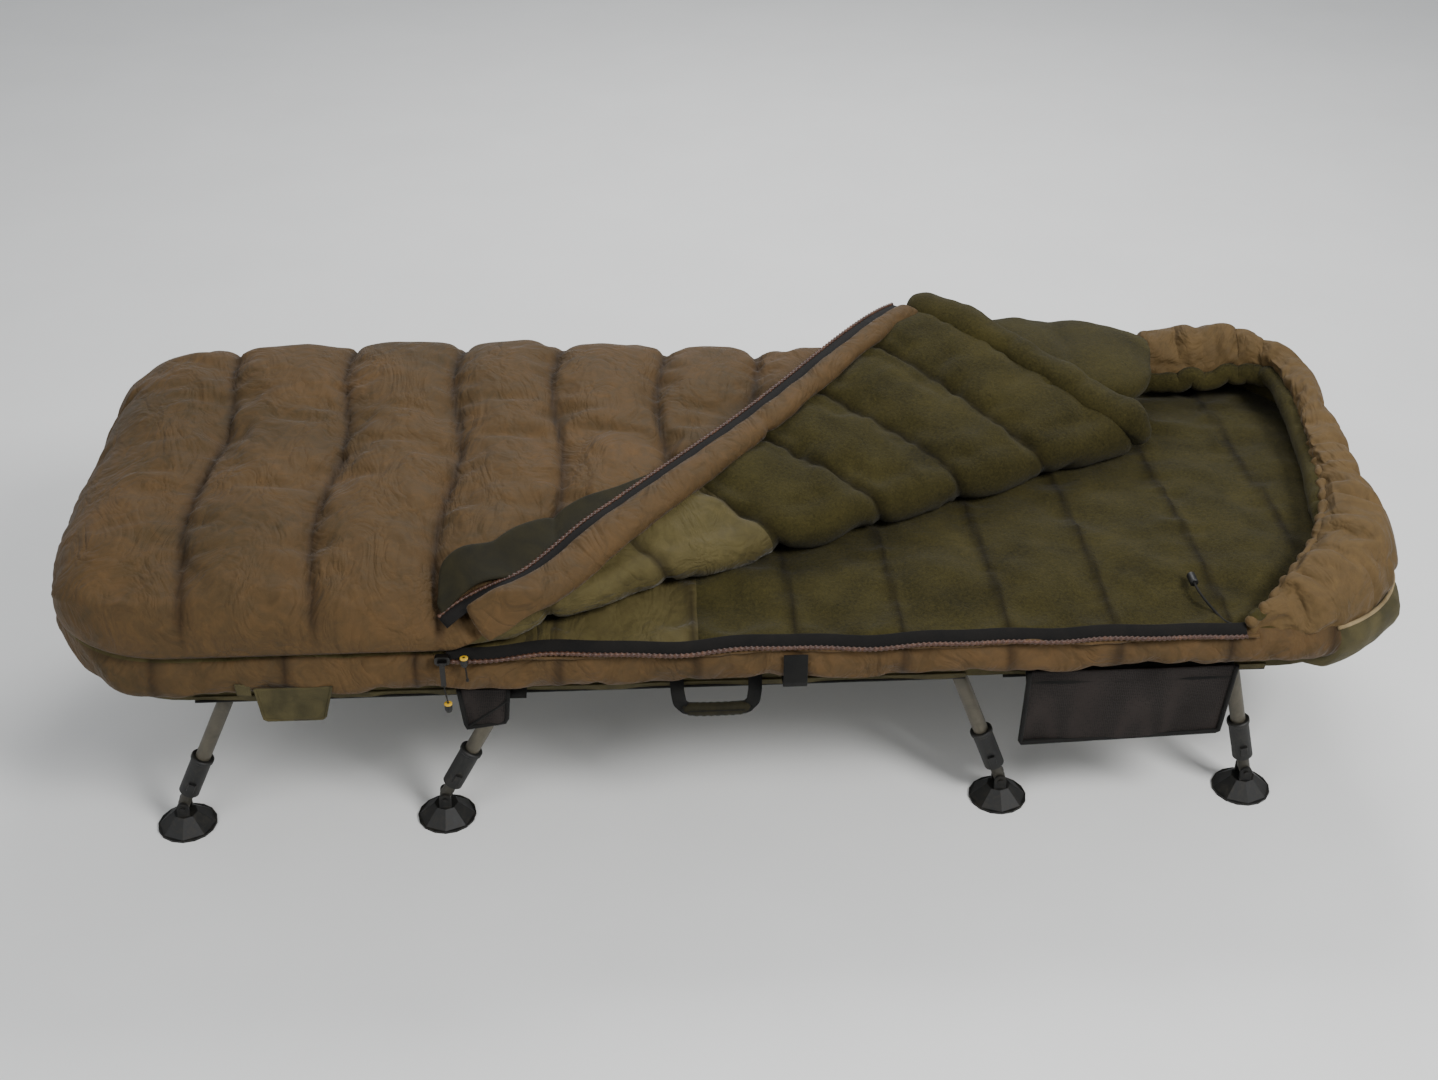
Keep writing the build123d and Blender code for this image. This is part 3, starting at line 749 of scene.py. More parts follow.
def make_flap_edge():
    """Draft tube, zip tape, zip coil and facing along the folded flap's edge."""
    xs = np.linspace(-0.412, 0.71, 180)
    path, inward = zip_line(xs)
    half = 0.036 - 0.015 * smooth((xs + 0.35) / 1.0)
    half *= 1 + 0.05 * np.sin(xs * 47) * smooth((xs - 0.2) / 0.2)
    half *= 1 - 0.16 * np.exp(-(((xs - 0.245) / 0.010) ** 2))
    centre_line = path + inward * (0.010 + half)[:, None] + [0, 0, 0.010]
    angles = np.linspace(0, 2 * math.pi, 22, endpoint=False)
    high = half * (0.20 + 0.42 * smooth((xs + 0.43) / 0.07)) + 0.002
    high *= smooth((0.72 - xs) / 0.03)
    rings = (
        centre_line[:, None]
        + half[:, None, None] * np.cos(angles)[None, :, None] * inward[:, None]
        + high[:, None, None] * np.sin(angles)[None, :, None] * np.array([0, 0, 1.0])
    )
    rings[..., 2] += 0.0028 * fbm(rings, 24.0) + 0.0012 * fbm(rings, 70.0)
    draft = subdivided(loft("draft_tube", over_near_edge(rings), ["shell"]))
    xs = np.linspace(-0.446, 0.722, 190)
    path, inward = zip_line(xs)
    up = np.tile([0, 0, 1.0], (len(xs), 1))
    tape = ribbon("flap_zip_tape", path - inward * 0.005 + up * 0.003, inward, up, 0.034, 0.0022, ["tape"])
    coil = teeth("flap_zip_coil", path - inward * 0.020 + up * 0.004)
    xs = np.linspace(-0.440, 0.60, 160)
    path, inward = zip_line(xs)
    width = 0.054 * smooth((xs + 0.452) / 0.05) * (1 - smooth((xs + 0.27) / 0.36))
    width += 0.036 * np.exp(-(((xs - 0.50) / 0.085) ** 2)) + 0.006
    out = np.linspace(0, 1, 8)[None, :, None]
    middle = path[:, None] - inward[:, None] * (0.018 + width[:, None, None] * out)
    lying = cover_top(middle[..., :2]) + 0.010
    share = out[..., 0] ** 0.8
    middle[..., 2] = (middle[..., 2] + 0.001) * (1 - share) + lying * share
    middle[..., 2] += 0.0022 * np.sin(xs * 44)[:, None] * share
    middle[..., 2] += 0.016 * np.exp(-(((xs + 0.37) / 0.05) ** 2))[:, None]
    facing = quilt("zip_facing", middle, np.full(middle.shape[:2], 0.005), ["facing"], lambda i, j, o: 0)
    subdivided(facing)
    for piece, slot in (
        (draft, "shell_cloth"),
        (tape, "webbing"),
        (coil, "zip_metal"),
        (facing, "fleece"),
    ):
        for half_piece in across_hinges(piece):
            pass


def teeth(name, path, radius=0.0032):
    """A continuous zip coil: a tube whose surface is ribbed by its turns."""
    lengths = np.concatenate([[0], np.cumsum(np.linalg.norm(np.diff(path, axis=0), axis=1))])
    count = int(lengths[-1] / 0.0021)
    at = np.linspace(0, lengths[-1], count)
    fine = np.stack([np.interp(at, lengths, path[:, k]) for k in range(3)], axis=-1)
    ribs = radius * (1 + 0.28 * np.sin(np.arange(count) * math.pi / 2))
    return tube(name, fine, ribs, ["coil"], 8)


def make_collar_roll():
    """The filled collar along the cover's head end, rolled over with the flap, and the layer behind it."""
    count = 80
    ys = np.linspace(-HALF_Y + 0.01, CREASE_END[1] + 0.005, count)
    flat = np.stack([np.full(count, COVER_END_X + 0.004), ys], axis=-1)
    path = folded(flat, 0.012)
    t = np.linspace(0, 1, count)
    radius = 0.036 * (1 + 0.04 * np.sin(t * 11) + 0.025 * np.sin(t * 31))
    radius *= 1 - 0.14 * np.exp(-(((t - 0.42) / 0.02) ** 2)) - 0.12 * np.exp(-(((t - 0.7) / 0.02) ** 2))
    radius *= np.sqrt(np.clip(1 - np.clip(1 - t / 0.06, 0, 1) ** 2 * 0.75, 0, 1))
    radius *= np.sqrt(np.clip(1 - np.clip(1 - (1 - t) / 0.08, 0, 1) ** 2 * 0.9, 0, 1))
    roll = tube("collar_roll", path, radius, ["fleece"], 24, flat=0.82, up=np.array([[0, 0, 1.0]]))
    round_end = 0.70 + 0.112 * np.sin(np.linspace(0.1, 1, 16) * math.pi / 2)
    xs = np.concatenate([np.linspace(0.40, 0.70, 26), round_end])
    end = np.sqrt(np.clip(1 - (np.clip(xs - 0.70, 0, 1) / 0.1125) ** 2, 0, 1))
    start = smooth((xs - 0.38) / 0.09)
    far_y = 0.335 + 0.088 * end
    near_y = 0.335 - 0.20 * end
    angles = np.linspace(0, 2 * math.pi, 32, endpoint=False)
    c, q = np.cos(angles), np.sin(angles)
    c, q = np.sign(c) * np.abs(c) ** 0.8, np.sign(q) * np.abs(q) ** 0.8
    half_high = (0.012 + 0.026 * end) * (0.35 + 0.65 * start) * (0.75 + 0.25 * channel(xs, [0.50, 0.64], 0.5))
    centre_z = 0.515 - 0.012 * smooth((xs - 0.6) / 0.2)
    rings = np.stack(
        [
            np.repeat(xs[:, None], 32, 1),
            (far_y + near_y)[:, None] / 2 + (far_y - near_y)[:, None] / 2 * c,
            centre_z[:, None] + half_high[:, None] * q,
        ],
        axis=-1,
    )
    behind = loft("far_collar", rings, ["fleece"])
    for piece in (roll, behind):
        co = coordinates(piece)
        co = co + (0.004 * fbm(co, 16.0) + 0.002 * fbm(co, 40.0))[:, None]
        set_coordinates(piece, co)
        subdivided(piece)
        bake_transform(piece)


# ---- the base quilt, open to view on the near side, with its brown side band ----
# The side lip of the base rises to its underside over this length at each end.
END_LIP_RISE = 0.09


def make_base():
    xs = np.concatenate(
        [
            BAG_X0 + 0.2 * np.linspace(0, 1, 14) ** 1.6,
            np.arange(BAG_X0 + 0.215, BAG_X1 - 0.2, 0.016),
            BAG_X1 - 0.2 * np.linspace(1, 0, 14) ** 1.6,
        ]
    )
    side = [(0.386, 0.334), (0.396, 0.328), (0.410, 0.328), (0.422, 0.337), (0.428, 0.350)]
    side += [(0.4295, 0.363), (0.428, 0.376), (0.424, 0.387), (0.415, 0.396), (0.400, 0.402)]
    top = [(0.385 - 0.385 * k / 23, 0.404) for k in range(24)]
    near = [(-y, z) for y, z in side + top]
    far = [(y, z) for y, z in (side + top[:-1])[::-1]]
    under = [(0.382, 0.350), (0.381, 0.3668), (0.2, 0.3668), (0.0, 0.3668)]
    under += [(-0.2, 0.3668), (-0.381, 0.3668), (-0.382, 0.350)]
    profile = np.array(near + far + under)
    count_outer = len(near) + len(far)
    y, z = profile[:, 0], profile[:, 1]
    on_top = np.clip((0.40 - np.abs(y)) / 0.12, 0, 1) * (z > 0.40)
    on_side = smooth((np.abs(y) - 0.40) / 0.02) * (np.arange(len(y)) < count_outer)
    rings = []
    for x in xs:
        puffed = channel(x + 0.05 * (y + 0.43), BASE_SEAMS, 0.36)
        scale = half_width(np.array(x)) / HALF_Y
        ring_y = y * scale + np.sign(y) * on_side * 0.004 * (puffed - 0.5)
        sag = 0.004 * np.sin(x * 9 + 1) + 0.003 * np.sin(x * 23)
        crown = 0.004 * (1 - (y / 0.4) ** 2) + 0.024 * puffed * (1 - np.exp(-(0.40 - np.abs(y)) / 0.04))
        ring_z = z + on_top * crown + on_side * sag * 0.6
        to_end = min(x - BAG_X0, BAG_X1 - x)
        lip = 0.318 + 0.0488 * smooth((END_LIP_RISE - to_end) / END_LIP_RISE)
        ring_z = np.maximum(ring_z, lip)
        ring_x = np.full_like(ring_y, x)
        rings.append(np.stack([ring_x, ring_y, ring_z], axis=-1))
    rings = np.array(rings)
    bumps = 0.0035 * fbm(rings, 14.0) + 0.002 * fbm(rings, 33.0, 5.0)
    outer = (np.arange(len(y)) < count_outer)[None, :]
    rings[..., 2] += bumps * outer

    def slot_of(i, j):
        if not (len(side) - 2 <= j < count_outer - len(side) + 1):
            return 0
        return 1 if xs[i] < LINING_CHANGE_X else 2

    piece = loft("base_quilt", rings, ["shell", "satin", "fleece"], slot_of)
    slant = rings[..., 0] + 0.05 * (rings[..., 1] + 0.43)
    near_seam = np.min(np.abs(slant[..., None] - np.array(BASE_SEAMS)), axis=-1) < 0.009
    fixed = near_seam | ~outer | ((np.abs(y) < 0.392) & (z < 0.40))[None, :]
    fixed = fixed | (np.abs(np.abs(y) - 0.415) < 0.002)[None, :] & (z > 0.39)[None, :]
    fixed[:2] = fixed[-2:] = True
    puff(piece, fixed.ravel(), pressure=2.0, swell=0.06, cap=0.008)
    share = np.broadcast_to(outer * (0.45 + 0.55 * np.clip(on_top * 3, 0, 1)), rings.shape[:2])
    mark(piece, "flat", np.stack([slant, rings[..., 1], share], axis=-1).reshape(-1, 3))
    subdivided(piece)
    pucker(piece, BASE_SEAMS, 1.0)
    halves = across_hinges(piece)
    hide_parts("base_quilt_foot")
    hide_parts("base_quilt_centre", "base_quilt_head")


def make_side_zip():
    """Tape and coil along the base quilt's near edge."""
    xs = np.linspace(-0.452, ZIP_END_X, 260)
    wander = 0.0030 * np.sin(xs * 17) + 0.002 * np.sin(xs * 43 + 2)
    path = np.stack([xs, -0.4245 + wander, 0.4035 + 0.003 * np.sin(xs * 21 + 1)], axis=-1)
    across = np.tile([0, 0.75, 0.65], (len(xs), 1))
    up = np.tile([0, -0.65, 0.75], (len(xs), 1))
    tape = ribbon("base_zip_tape", path, across, up, 0.024, 0.002, ["tape"])
    coil = teeth("base_zip_coil", path - across * 0.011 + up * 0.0015)
    xs = np.linspace(-0.44, ZIP_END_X + 0.02, 220)
    welt = np.stack([xs, -0.4285 + 0.002 * np.sin(xs * 19), 0.392 + 0.002 * np.sin(xs * 31)], axis=-1)
    bead = tube("band_welt", welt, 0.0035 + 0.0006 * np.sin(xs * 140), ["shell"], 10)
    for piece, slot in ((tape, "webbing"), (coil, "zip_metal"), (bead, "shell_cloth")):
        halves = across_hinges(piece)
        if piece is tape:
            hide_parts("zip_track")


# ---- hood ----
HOOD_EDGE = np.array(
    [
        # place along the hood from the near arm to the far arm, then x, y, z of its mouth's edge
        # and how far its ridge stands above that
        (-1.00, 0.800, -0.424, 0.404, 0.006),
        (-0.88, 0.842, -0.396, 0.428, 0.010),
        (-0.72, 0.892, -0.343, 0.448, 0.014),
        (-0.55, 0.952, -0.264, 0.460, 0.018),
        (-0.35, 0.998, -0.163, 0.466, 0.022),
        (-0.15, 1.020, -0.060, 0.470, 0.026),
        (0.08, 1.034, 0.045, 0.476, 0.028),
        (0.30, 1.040, 0.150, 0.486, 0.032),
        (0.48, 1.042, 0.235, 0.492, 0.034),
        (0.60, 1.028, 0.285, 0.490, 0.042),
        (0.70, 0.985, 0.302, 0.478, 0.056),
        (0.82, 0.915, 0.306, 0.468, 0.066),
        (0.92, 0.860, 0.310, 0.462, 0.068),
        (1.00, 0.800, 0.325, 0.455, 0.066),
    ]
)
HOOD_SEAMS = [-0.62, -0.2, 0.2, 0.62]


def softened(values, passes=6):
    """Rounds off the corners of a run of values, and keeps its ends."""
    values = np.array(values, float)
    for _ in range(passes):
        values[1:-1] = (values[:-2] + 2 * values[1:-1] + values[2:]) / 4
    return values


def hood_rails(count):
    """Foot of the outer wall, edge of the mouth and height of the ridge, from the near arm to the far arm."""
    start_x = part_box("hood")[0].x
    t = np.linspace(-1, 1, count)
    inset = 0.014
    radius = CORNER_R - inset
    straight = BAG_X1 - CORNER_R - start_x
    turn = radius * math.pi / 2
    end = HALF_Y - CORNER_R
    s = np.abs(t) * (straight + turn + end)
    outer = np.zeros((count, 2))
    for i, d in enumerate(s):
        if d < end:
            outer[i] = (BAG_X1 - inset, d)
        elif d < end + turn:
            angle = (d - end) / radius
            outer[i] = (
                BAG_X1 - CORNER_R + radius * math.cos(angle),
                end + radius * math.sin(angle),
            )
        else:
            outer[i] = (BAG_X1 - CORNER_R - (d - end - turn), HALF_Y - inset)
    outer[:, 1] *= np.sign(t + 1e-12)
    edge = np.stack([np.interp(t, HOOD_EDGE[:, 0], HOOD_EDGE[:, k]) for k in (1, 2, 3, 4)], axis=-1)
    edge = softened(edge, 16)
    return t, outer, edge[:, :3], edge[:, 2] + edge[:, 3]


def make_hood():
    count, across = 170, 34
    t, outer, mouth, ridge = hood_rails(count)
    u = np.linspace(0, 1, across)[None, :, None]
    foot = np.concatenate([outer, np.full((count, 1), RIM_Z - 0.012)], axis=-1)
    above_foot = foot.copy()
    above_foot[:, :2] += unit(np.array([0.80, 0.0]) - outer) * 0.016
    above_foot[:, 2] = RIM_Z + (ridge - RIM_Z) * 1.02
    towards = mouth + (foot - mouth) * 0.5
    towards[:, 2] = ridge + 0.016
    middle = (
        foot[:, None] * (1 - u) ** 3
        + above_foot[:, None] * 3 * u * (1 - u) ** 2
        + towards[:, None] * 3 * u**2 * (1 - u)
        + mouth[:, None] * u**3
    )
    u = u[0, :, 0]
    gathers = np.sin(t * 61) * 0.5 + np.sin(t * 103 + 1.3) * 0.3 + np.sin(t * 37 + 0.5) * 0.4
    strong = 0.0010 + 0.0090 * smooth((t - 0.52) / 0.12) + 0.0035 * smooth((-0.15 - t) / 0.2)
    middle[..., 2] += (gathers * strong)[:, None] * smooth((u - 0.25) / 0.6)[None, :]
    middle[..., 2] += 0.004 * fbm(middle, 11.0)
    puffed = channel(np.repeat(t[:, None], across, 1), HOOD_SEAMS, 0.4)
    rim = np.clip(np.minimum(u, 1 - u) / 0.12, 0, 1) ** 0.5
    thickness = 0.006 + 0.020 * (0.5 + 0.5 * puffed) * rim[None, :]
    thickness *= smooth((1 - np.abs(t)) / 0.03 + 0.2)[:, None]
    thickness += 0.002 * fbm(middle, 22.0)
    piece = quilt("hood_quilt", middle, thickness, ["hood", "fleece"], lambda i, j, out: 0 if out else 1)
    flip_if_inside_out(piece, np.array([0.8, 0.0, 0.42]))
    held = np.zeros((count, across), bool)
    held[:, :1] = True
    held[:, -1:] = True
    held[:2] = held[-2:] = True
    held |= np.min(np.abs(t[:, None, None] - np.array(HOOD_SEAMS)), axis=-1) < 0.006
    held = held.ravel()
    puff(piece, np.concatenate([held, held]), pressure=1.5, swell=0.09, cap=0.010)
    subdivided(piece)
    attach(piece, "head_section")
    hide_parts("hood")
    edge = middle[:, -1]
    near = t < 0.02
    radius = 0.0085 + 0.003 * np.sin(t * 95) + 0.0015 * np.sin(t * 151)
    tunnel = tube("hood_tunnel", edge[near] + [0, 0, 0.003], radius[near], ["hood"], 14)
    inward = unit(np.array([0.80, 0.0]) - edge[:, :2])
    lining_path = edge.copy()
    lining_path[:, :2] += inward * 0.006
    lining_path[:, 2] -= 0.014
    inside = t > -0.45
    radius = 0.016 * (1 + 0.05 * np.sin(t * 23)) * smooth((t + 0.47) / 0.15) + 0.003
    lining = tube("hood_lining", lining_path[inside], radius[inside], ["fleece"], 16)
    for extra, slot in ((tunnel, "shell_cloth"), (lining, "fleece")):
        subdivided(extra)
        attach(extra, "head_section")


def flip_if_inside_out(piece, inside_point):
    """Exchanges the first two materials if the first one's faces look towards a point inside the piece."""
    first = [p for p in piece.data.polygons if p.material_index == 0]
    facing = sum((Vector(inside_point) - p.center).dot(p.normal) * p.area for p in first)
    if facing > 0:
        for p in piece.data.polygons:
            p.material_index = 1 - p.material_index


def make_head_pocket():
    """The pocket of mattress cloth round the head end, with pale piping."""
    _, outer, _, _ = hood_rails(130)
    keep = (outer[:, 0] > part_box("head_pocket")[0].x) & (outer[:, 1] < 0.3)
    outer = outer[keep]
    inner = outer * np.array([0.93, 0.90])
    low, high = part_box("head_pocket")[0].z, RIM_Z + 0.006
    profile = [(1.0, 0.06), (0.995, 0.0), (0.6, -0.02), (0.1, 0.02), (0.0, 0.5), (0.15, 0.93)]
    profile += [(0.55, 1.02), (0.9, 1.0), (1.004, 0.90), (1.014, 0.75), (1.018, 0.5), (1.012, 0.25)]
    n = len(outer)
    ripple = 1 + 0.10 * np.sin(np.linspace(0, 40, n)) + 0.05 * np.sin(np.linspace(3, 97, n))
    rings = []
    for f, h in profile:
        plan = inner * (1 - f) + outer * f
        if f > 1:
            lump = (11 + 12 * np.exp(-(((outer[:, 1] + 0.33) / 0.1) ** 2))) * ripple
            plan = outer + (outer - inner) * (f - 1) * lump[:, None]
        z = low + (high - low) * h + 0.003 * ripple
        rings.append(np.concatenate([plan, z[:, None]], axis=-1))
    rings = np.stack(rings, axis=1)
    rings[..., 2] += 0.003 * fbm(rings, 20.0)
    piece = loft("head_pocket_cloth", rings, ["olive"])
    subdivided(piece)
    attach(piece, "head_section")
    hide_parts("head_pocket")
    line = np.concatenate([outer * 1.0, np.full((n, 1), high - 0.012)], axis=-1)
    line[:, 2] += 0.004 * np.sin(np.linspace(0, 9, n))
    line[:, :2] += unit(outer - inner) * 0.012
    piping = tube("head_pocket_piping", line, 0.0035, ["piping"], 10)
    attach(piping, "head_section")


# ---- mattress and its skirts ----
def make_mattress():
    x0, x1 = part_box("mattress_foot")[0].x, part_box("mattress_head")[1].x
    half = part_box("mattress_centre")[1].y
    radius = 0.17
    xs = np.concatenate([x0 + 0.17 * np.linspace(0, 1, 12) ** 1.7, np.arange(x0 + 0.185, x1 - 0.17, 0.02)])
    xs = np.concatenate([xs, x1 - 0.17 * np.linspace(1, 0, 12) ** 1.7])
    thick = MATTRESS_TOP - DECK_Z
    profile = [(0.97, 0.0), (1.0, 0.06), (0.994, 0.14), (1.002, 0.35), (1.003, 0.65), (0.994, 0.86)]
    profile += [(1.0, 0.94), (0.975, 1.0), (0.9, 0.99), (0.6, 1.0), (0.3, 1.0), (0.0, 1.0)]
    right = [(f, h) for f, h in profile]
    left = [(-f, h) for f, h in profile[:-1]][::-1]
    ring = np.array(right + left + [(-0.93, 0.09), (-0.6, 0.09), (0.0, 0.09), (0.6, 0.09), (0.93, 0.09)])
    rings = []
    for x in xs:
        past = np.clip(max(x0 + radius - x, x - (x1 - radius)), 0, radius)
        width = half - radius + math.sqrt(radius**2 - past**2)
        notch = 0.16 * (math.exp(-(((x + HINGE_X) / 0.02) ** 2)) + math.exp(-(((x - HINGE_X) / 0.02) ** 2)))
        z = DECK_Z + 0.001 + ring[:, 1] * (thick - 0.002) * (1 - notch)
        rings.append(np.stack([np.full(len(ring), x), ring[:, 0] * width, z], axis=-1))
    piece = loft("mattress_pad", np.array(rings), ["olive"])
    halves = across_hinges(piece)
    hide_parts("mattress_foot")
    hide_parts("mattress_centre", "mattress_head")


def panel(name, corners, materials, columns=60, rows=14, thick=0.0024, wave=0.004, waves=9.0):
    """A hanging cloth panel between four corners: top start, top end, bottom end, bottom start."""
    a, b, c, d = [np.asarray(p, float) for p in corners]
    u = np.linspace(0, 1, columns)[:, None, None]
    v = np.linspace(0, 1, rows)[None, :, None]
    middle = (a * (1 - u) + b * u) * (1 - v) + (d * (1 - u) + c * u) * v
    swing = wave * np.sin(u[..., 0] * waves + 1.0) * (0.3 + 0.7 * v[..., 0])
    middle[..., 1] += swing + 0.3 * wave * np.sin(u[..., 0] * waves * 2.7) * v[..., 0]
    return quilt(name, middle, np.full(middle.shape[:2], thick), materials, lambda i, j, outer: 0)


def bound_edge(name, points, radius=0.0028, material="webbing"):
    """A folded binding sewn over an edge."""
    points = np.asarray(points, float)
    steps = np.concatenate([[0], np.cumsum(np.linalg.norm(np.diff(points, axis=0), axis=1))])
    at = np.linspace(0, steps[-1], max(int(steps[-1] / 0.008), 8))
    path = np.stack([np.interp(at, steps, points[:, k]) for k in range(3)], axis=-1)
    return tube(name, path, radius, [material], 8)


def make_skirts():
    """Mattress side skirts, which hide the rails. Each stops short of the hinges."""
    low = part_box("mattress_centre")[0].z
    top = DECK_Z + 0.012
    spans = {"foot": (-0.86, -0.432, "foot_section"), "centre": (-0.37, 0.37, "centre")}
    spans["head"] = (0.432, 0.86, "head_section")
    for section, (start, end, body) in spans.items():
        for side, y in (("near", -0.3745), ("far", 0.3745)):
            top_y = y + 0.004 * np.sign(y)
            corners = [(start, top_y, top), (end, top_y, top), (end, y, low), (start, y, low)]
            skirt = panel(f"skirt_{section}_{side}", corners, ["olive"], 70, 6, 0.0024, 0.0018, 17.0)
            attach(skirt, body)
            width = math.dist(corners[0], corners[1])
            edge = bound_edge(f"skirt_binding_{section}_{side}", [(start, y, low), (end, y, low)])
            edge.parent = skirt


# ---- pockets, handle, straps ----
def make_mesh_pocket():
    low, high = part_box("mesh_pocket")
    y = low.y + 0.005
    top = high.z - 0.004
    corners = [(low.x + 0.004, y, top), (high.x, y, top), (high.x - 0.012, y, low.z + 0.012)]
    corners.append((low.x, y, low.z))
    net = panel("mesh_pocket_net", corners, ["net"], 80, 30, 0.0022, 0.0035, 7.0)
    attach(net, "head_section")
    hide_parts("mesh_pocket")
    width = 0.5 * (math.dist(corners[0], corners[1]) + math.dist(corners[2], corners[3]))
    rim = bound_edge("mesh_pocket_binding", [corners[0], corners[3], corners[2], corners[1]], 0.0042)
    rim.parent = net
    band_corners = [(low.x, y + 0.02, top), (high.x, y + 0.02, top)]
    band_corners += [(high.x, y - 0.001, top - 0.024), (low.x, y - 0.001, top - 0.024)]
    band = panel("mesh_pocket_band", band_corners, ["webbing"], 60, 6, 0.003, 0.001, 20.0)
    band.parent = net


def make_side_pocket():
    low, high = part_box("side_pocket")
    y = low.y + 0.004
    x0, x1 = low.x, low.x + 0.078
    top, bottom = high.z - 0.003, low.z
    corners = [(x0, y, top), (x1, y, top), (x1 - 0.006, y, bottom + 0.010), (x0 + 0.008, y, bottom)]
    net = panel("side_pocket_net", corners, ["net"], 24, 24, 0.0022, 0.002, 5.0)
    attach(net, "centre")
    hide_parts("side_pocket")
    rim = bound_edge("side_pocket_binding", [corners[0], corners[3], corners[2], corners[1]], 0.004)
    rim.parent = net
    strut = bound_edge("side_pocket_strut", [corners[3], (x1, y - 0.002, bottom + 0.055)], 0.0024)
    strut.parent = net
    tab_corners = [(x1 - 0.02, y + 0.02, top), (x1 + 0.03, y + 0.02, top)]
    tab_corners += [(x1 + 0.028, y, top - 0.02), (x1 - 0.02, y, top - 0.02)]
    tab = panel("side_pocket_tab", tab_corners, ["webbing"], 10, 6, 0.003, 0.0005, 3.0)
    tab.parent = net


def make_handle():
    low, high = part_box("carry_handle")
    y = low.y + 0.011
    z = low.z + 0.011
    xs = np.linspace(low.x + 0.016, high.x - 0.016, 60)
    t = np.linspace(-1, 1, 60)
    radius = 0.0115 * (1 - 0.55 * np.abs(t) ** 8) * (1 + 0.03 * np.sin(t * 30))
    path = np.stack([xs, np.full(60, y), z - 0.002 * (1 - t * t)], axis=-1)
    pad = tube("handle_pad", path, radius, ["facing"], 16)
    subdivided(pad)
    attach(pad, "centre")
    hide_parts("carry_handle")
    for name, x, way in (("handle_strap_left", low.x + 0.012, 1), ("handle_strap_right", high.x - 0.012, -1)):
        path = np.array(
            [
                (x + way * 0.03, y, z),
                (x + way * 0.010, y, z + 0.001),
                (x, y + 0.001, z + 0.012),
                (x - way * 0.003, y + 0.006, z + 0.030),
                (x - way * 0.004, y + 0.022, z + 0.050),
            ]
        )
        fine = np.stack([np.interp(np.linspace(0, 4, 30), range(5), path[:, k]) for k in range(3)], axis=-1)
        fine[1:-1] = (fine[:-2] + fine[1:-1] * 2 + fine[2:]) / 4
        tangent = unit(np.gradient(fine, axis=0))
        outward = np.tile([0, -1.0, 0], (30, 1))
        outward[:10] = [0, -0.4, 0.9]
        across = unit(np.cross(tangent, outward))
        strap = ribbon(name, fine, across, np.cross(across, tangent), 0.022, 0.0026, ["webbing"])
        strap.parent = pad
    x = 0.5 * (low.x + high.x)
    stitches = [(x + dx, y - 0.0112, z + 0.003) for dx in np.linspace(-0.045, 0.045, 30)]
    tube("handle_seam_0", stitches, 0.0008, ["webbing"], 6).parent = pad


def make_straps():
    low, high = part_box("retention_strap")
    x = 0.5 * (low.x + high.x)
    width = high.x - low.x
    zs = [high.z, high.z - 0.02, low.z + 0.012, low.z + 0.002, low.z + 0.0012, low.z + 0.0012]
    out = low.y - 0.004
    ys = [out, out, out, out + 0.003, low.y + 0.012, high.y]
    count = 40
    at = np.linspace(0, 5, count)
    path = np.stack([np.full(count, x), np.interp(at, range(6), ys), np.interp(at, range(6), zs)], axis=-1)
    tangent = unit(np.gradient(path, axis=0))
    across = np.tile([1.0, 0, 0], (count, 1))
    strap = ribbon("band_strap", path, across, np.cross(across, tangent), width, 0.002, ["webbing"])
    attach(strap, "centre")
    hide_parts("retention_strap")
    low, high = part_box("foot_skirt")
    y = low.y + 0.0016
    corners = [(low.x, y, high.z), (high.x, y, high.z), (high.x - 0.016, y, low.z), (low.x + 0.008, y, low.z)]
    skirt = panel("foot_skirt_cloth", corners, ["olive"], 30, 16, 0.0026, 0.0012, 6.0)
    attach(skirt, "foot_section")
    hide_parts("foot_skirt")
    rim = bound_edge("foot_skirt_binding", [corners[0], corners[3], corners[2], corners[1]], 0.0022, "olive")
    rim.parent = skirt
    patch_x = low.x - 0.018
    patch = [(patch_x - 0.012, y, 0.362), (patch_x + 0.012, y, 0.360)]
    patch += [(patch_x + 0.012, y, 0.338), (patch_x - 0.010, y, 0.340)]
    tab = panel("foot_skirt_tab", patch, ["olive"], 10, 8, 0.002, 0.0003, 3.0)
    tab.parent = skirt


# ---- zip slider's beads and cords ----
def bevelled_cord(name, route, radius):
    """A cord as a bevelled curve through a route's points."""
    curve = bpy.data.curves.new(name, "CURVE")
    curve.dimensions = "3D"
    spline = curve.splines.new("NURBS")
    spline.points.add(len(route) - 1)
    for point, place in zip(spline.points, route):
        point.co = (*place, 1)
    spline.order_u = 3
    spline.use_endpoint_u = True
    curve.bevel_depth = radius
    curve.materials.append(M["cord"])
    cord = bpy.data.objects.new(name, curve)
    scene.collection.objects.link(cord)
    return cord


def beads(name, place, body):
    """A black barrel bead under a yellow ring."""
    barrel = [(0.001, 0.0), (0.0045, 0.001), (0.0060, 0.005)]
    barrel += [(0.0062, 0.011), (0.0050, 0.016), (0.001, 0.018)]
    ring = [(0.0052, 0.0), (0.0064, 0.0008), (0.0064, 0.0026), (0.0050, 0.0034)]
    x, y, z = place
    made = [
        turned(f"{name}_bead", (x, y, z - 0.016), barrel, "plastic"),
        turned(f"{name}_ring", (x, y, z - 0.002), ring, "yellow"),
    ]
    for piece in made:
        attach(piece, body)
    return made


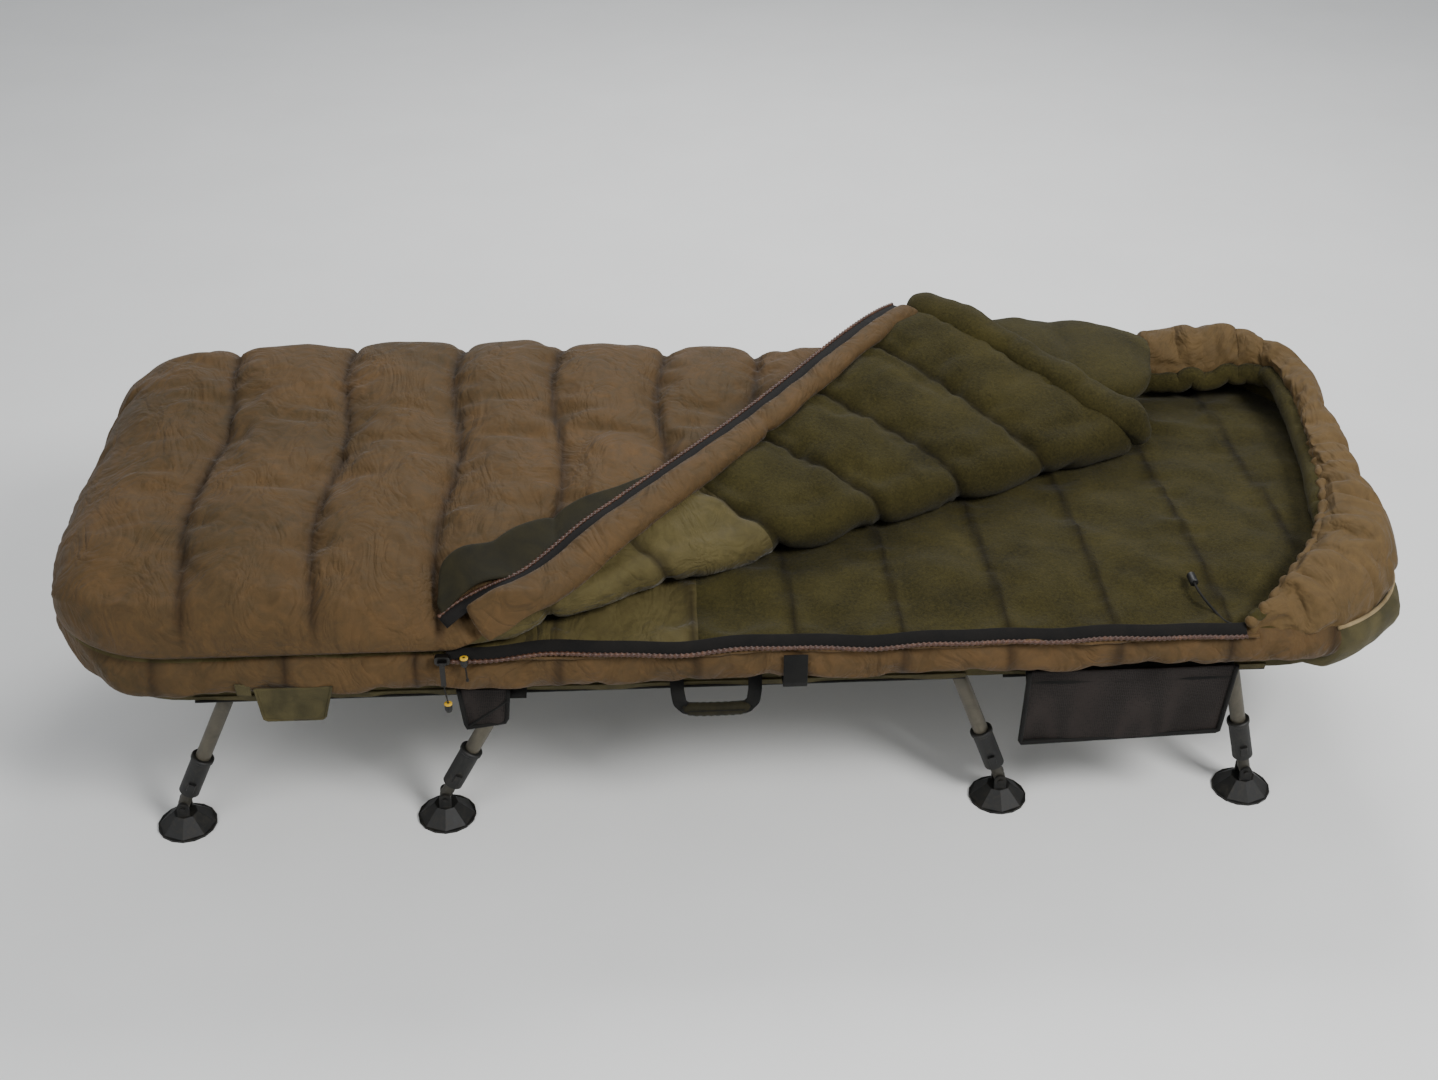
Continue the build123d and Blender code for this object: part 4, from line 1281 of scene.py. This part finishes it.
def make_pulls():
    """The cord and bead on the slider's pull, and the short cord with its own bead beside the slider."""
    low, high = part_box("zip_pull")
    x, y = 0.5 * (low.x + high.x), 0.5 * (low.y + high.y)
    route = [
        (x, y, low.z + 0.004),
        (x + 0.001, y - 0.002, low.z - 0.008),
        (x + 0.003, y - 0.001, low.z - 0.022),
        (x + 0.004, y, low.z - 0.034),
    ]
    cord = bevelled_cord("pull_cord", route, 0.0012)
    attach(cord, "zip_pull")
    held = beads("pull", route[-1], "zip_pull")
    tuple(route[0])
    x, y = -0.424, -0.437
    route = [(x, y + 0.004, 0.400), (x + 0.001, y - 0.001, 0.392)]
    route += [(x + 0.002, y, 0.378), (x + 0.003, y, 0.362)]
    cord = bevelled_cord("side_cord", route, 0.0012)
    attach(cord, "foot_section")
    held = beads("side", (x + 0.0005, y - 0.002, 0.404), "foot_section")
    knot_profile = [(0.0008, 0), (0.0026, 0.002), (0.0024, 0.005), (0.0008, 0.007)]
    knot = turned("side_cord_knot", (x + 0.003, y, 0.357), knot_profile, "cord")
    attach(knot, "foot_section")
    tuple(route[0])


def turned(name, place, profile, material, sides=24, axis=(0, 0, 1)):
    """A piece turned on a lathe: its profile is (radius, height) pairs."""
    axis = unit(np.array(axis, float))
    helper = np.array([1.0, 0, 0]) if abs(axis[0]) < 0.9 else np.array([0, 1.0, 0])
    one = unit(np.cross(axis, helper))
    two = np.cross(axis, one)
    angles = np.linspace(0, 2 * math.pi, sides, endpoint=False)
    rings = [
        np.asarray(place) + axis * h + r * (np.outer(np.cos(angles), one) + np.outer(np.sin(angles), two))
        for r, h in profile
    ]
    return loft(name, rings, [material])


def make_drawcord():
    route = [
        (0.800, -0.410, 0.3992),
        (0.776, -0.410, 0.3992),
        (0.757, -0.374, 0.4085),
        (0.738, -0.352, 0.4275),
        (0.738, -0.330, 0.4275),
    ]
    cord = bevelled_cord("hood_cord", route, 0.002)
    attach(cord, "head_section")
    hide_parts("hood_drawcord")
    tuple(route[0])


# ---- finishes of the CAD nodes that stay ----
def finish_cad_nodes():
    finishes = {
        "centre_frame": "frame", "foot_frame": "frame", "head_frame": "frame", "leg_frame": "frame",
        "leg_saddles": "frame", "hinge_brackets": "bracket", "leg_stem": "stem",
        "lock_collar": "plastic", "mud_foot": "rubber", "zip_slider": "slider", "zip_pull": "slider",
        "hood_toggle": "plastic",
    }
    for name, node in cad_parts.items():
        for prefix, finish in finishes.items():
            if name.startswith(prefix):
                node.data.materials.clear()
                node.data.materials.append(M[finish])


make_stage()
make_cover()
make_flap_edge()
make_collar_roll()
make_base()
make_side_zip()
make_hood()
make_head_pocket()
make_mattress()
make_skirts()
make_mesh_pocket()
make_side_pocket()
make_handle()
make_straps()
make_pulls()
make_drawcord()
finish_cad_nodes()
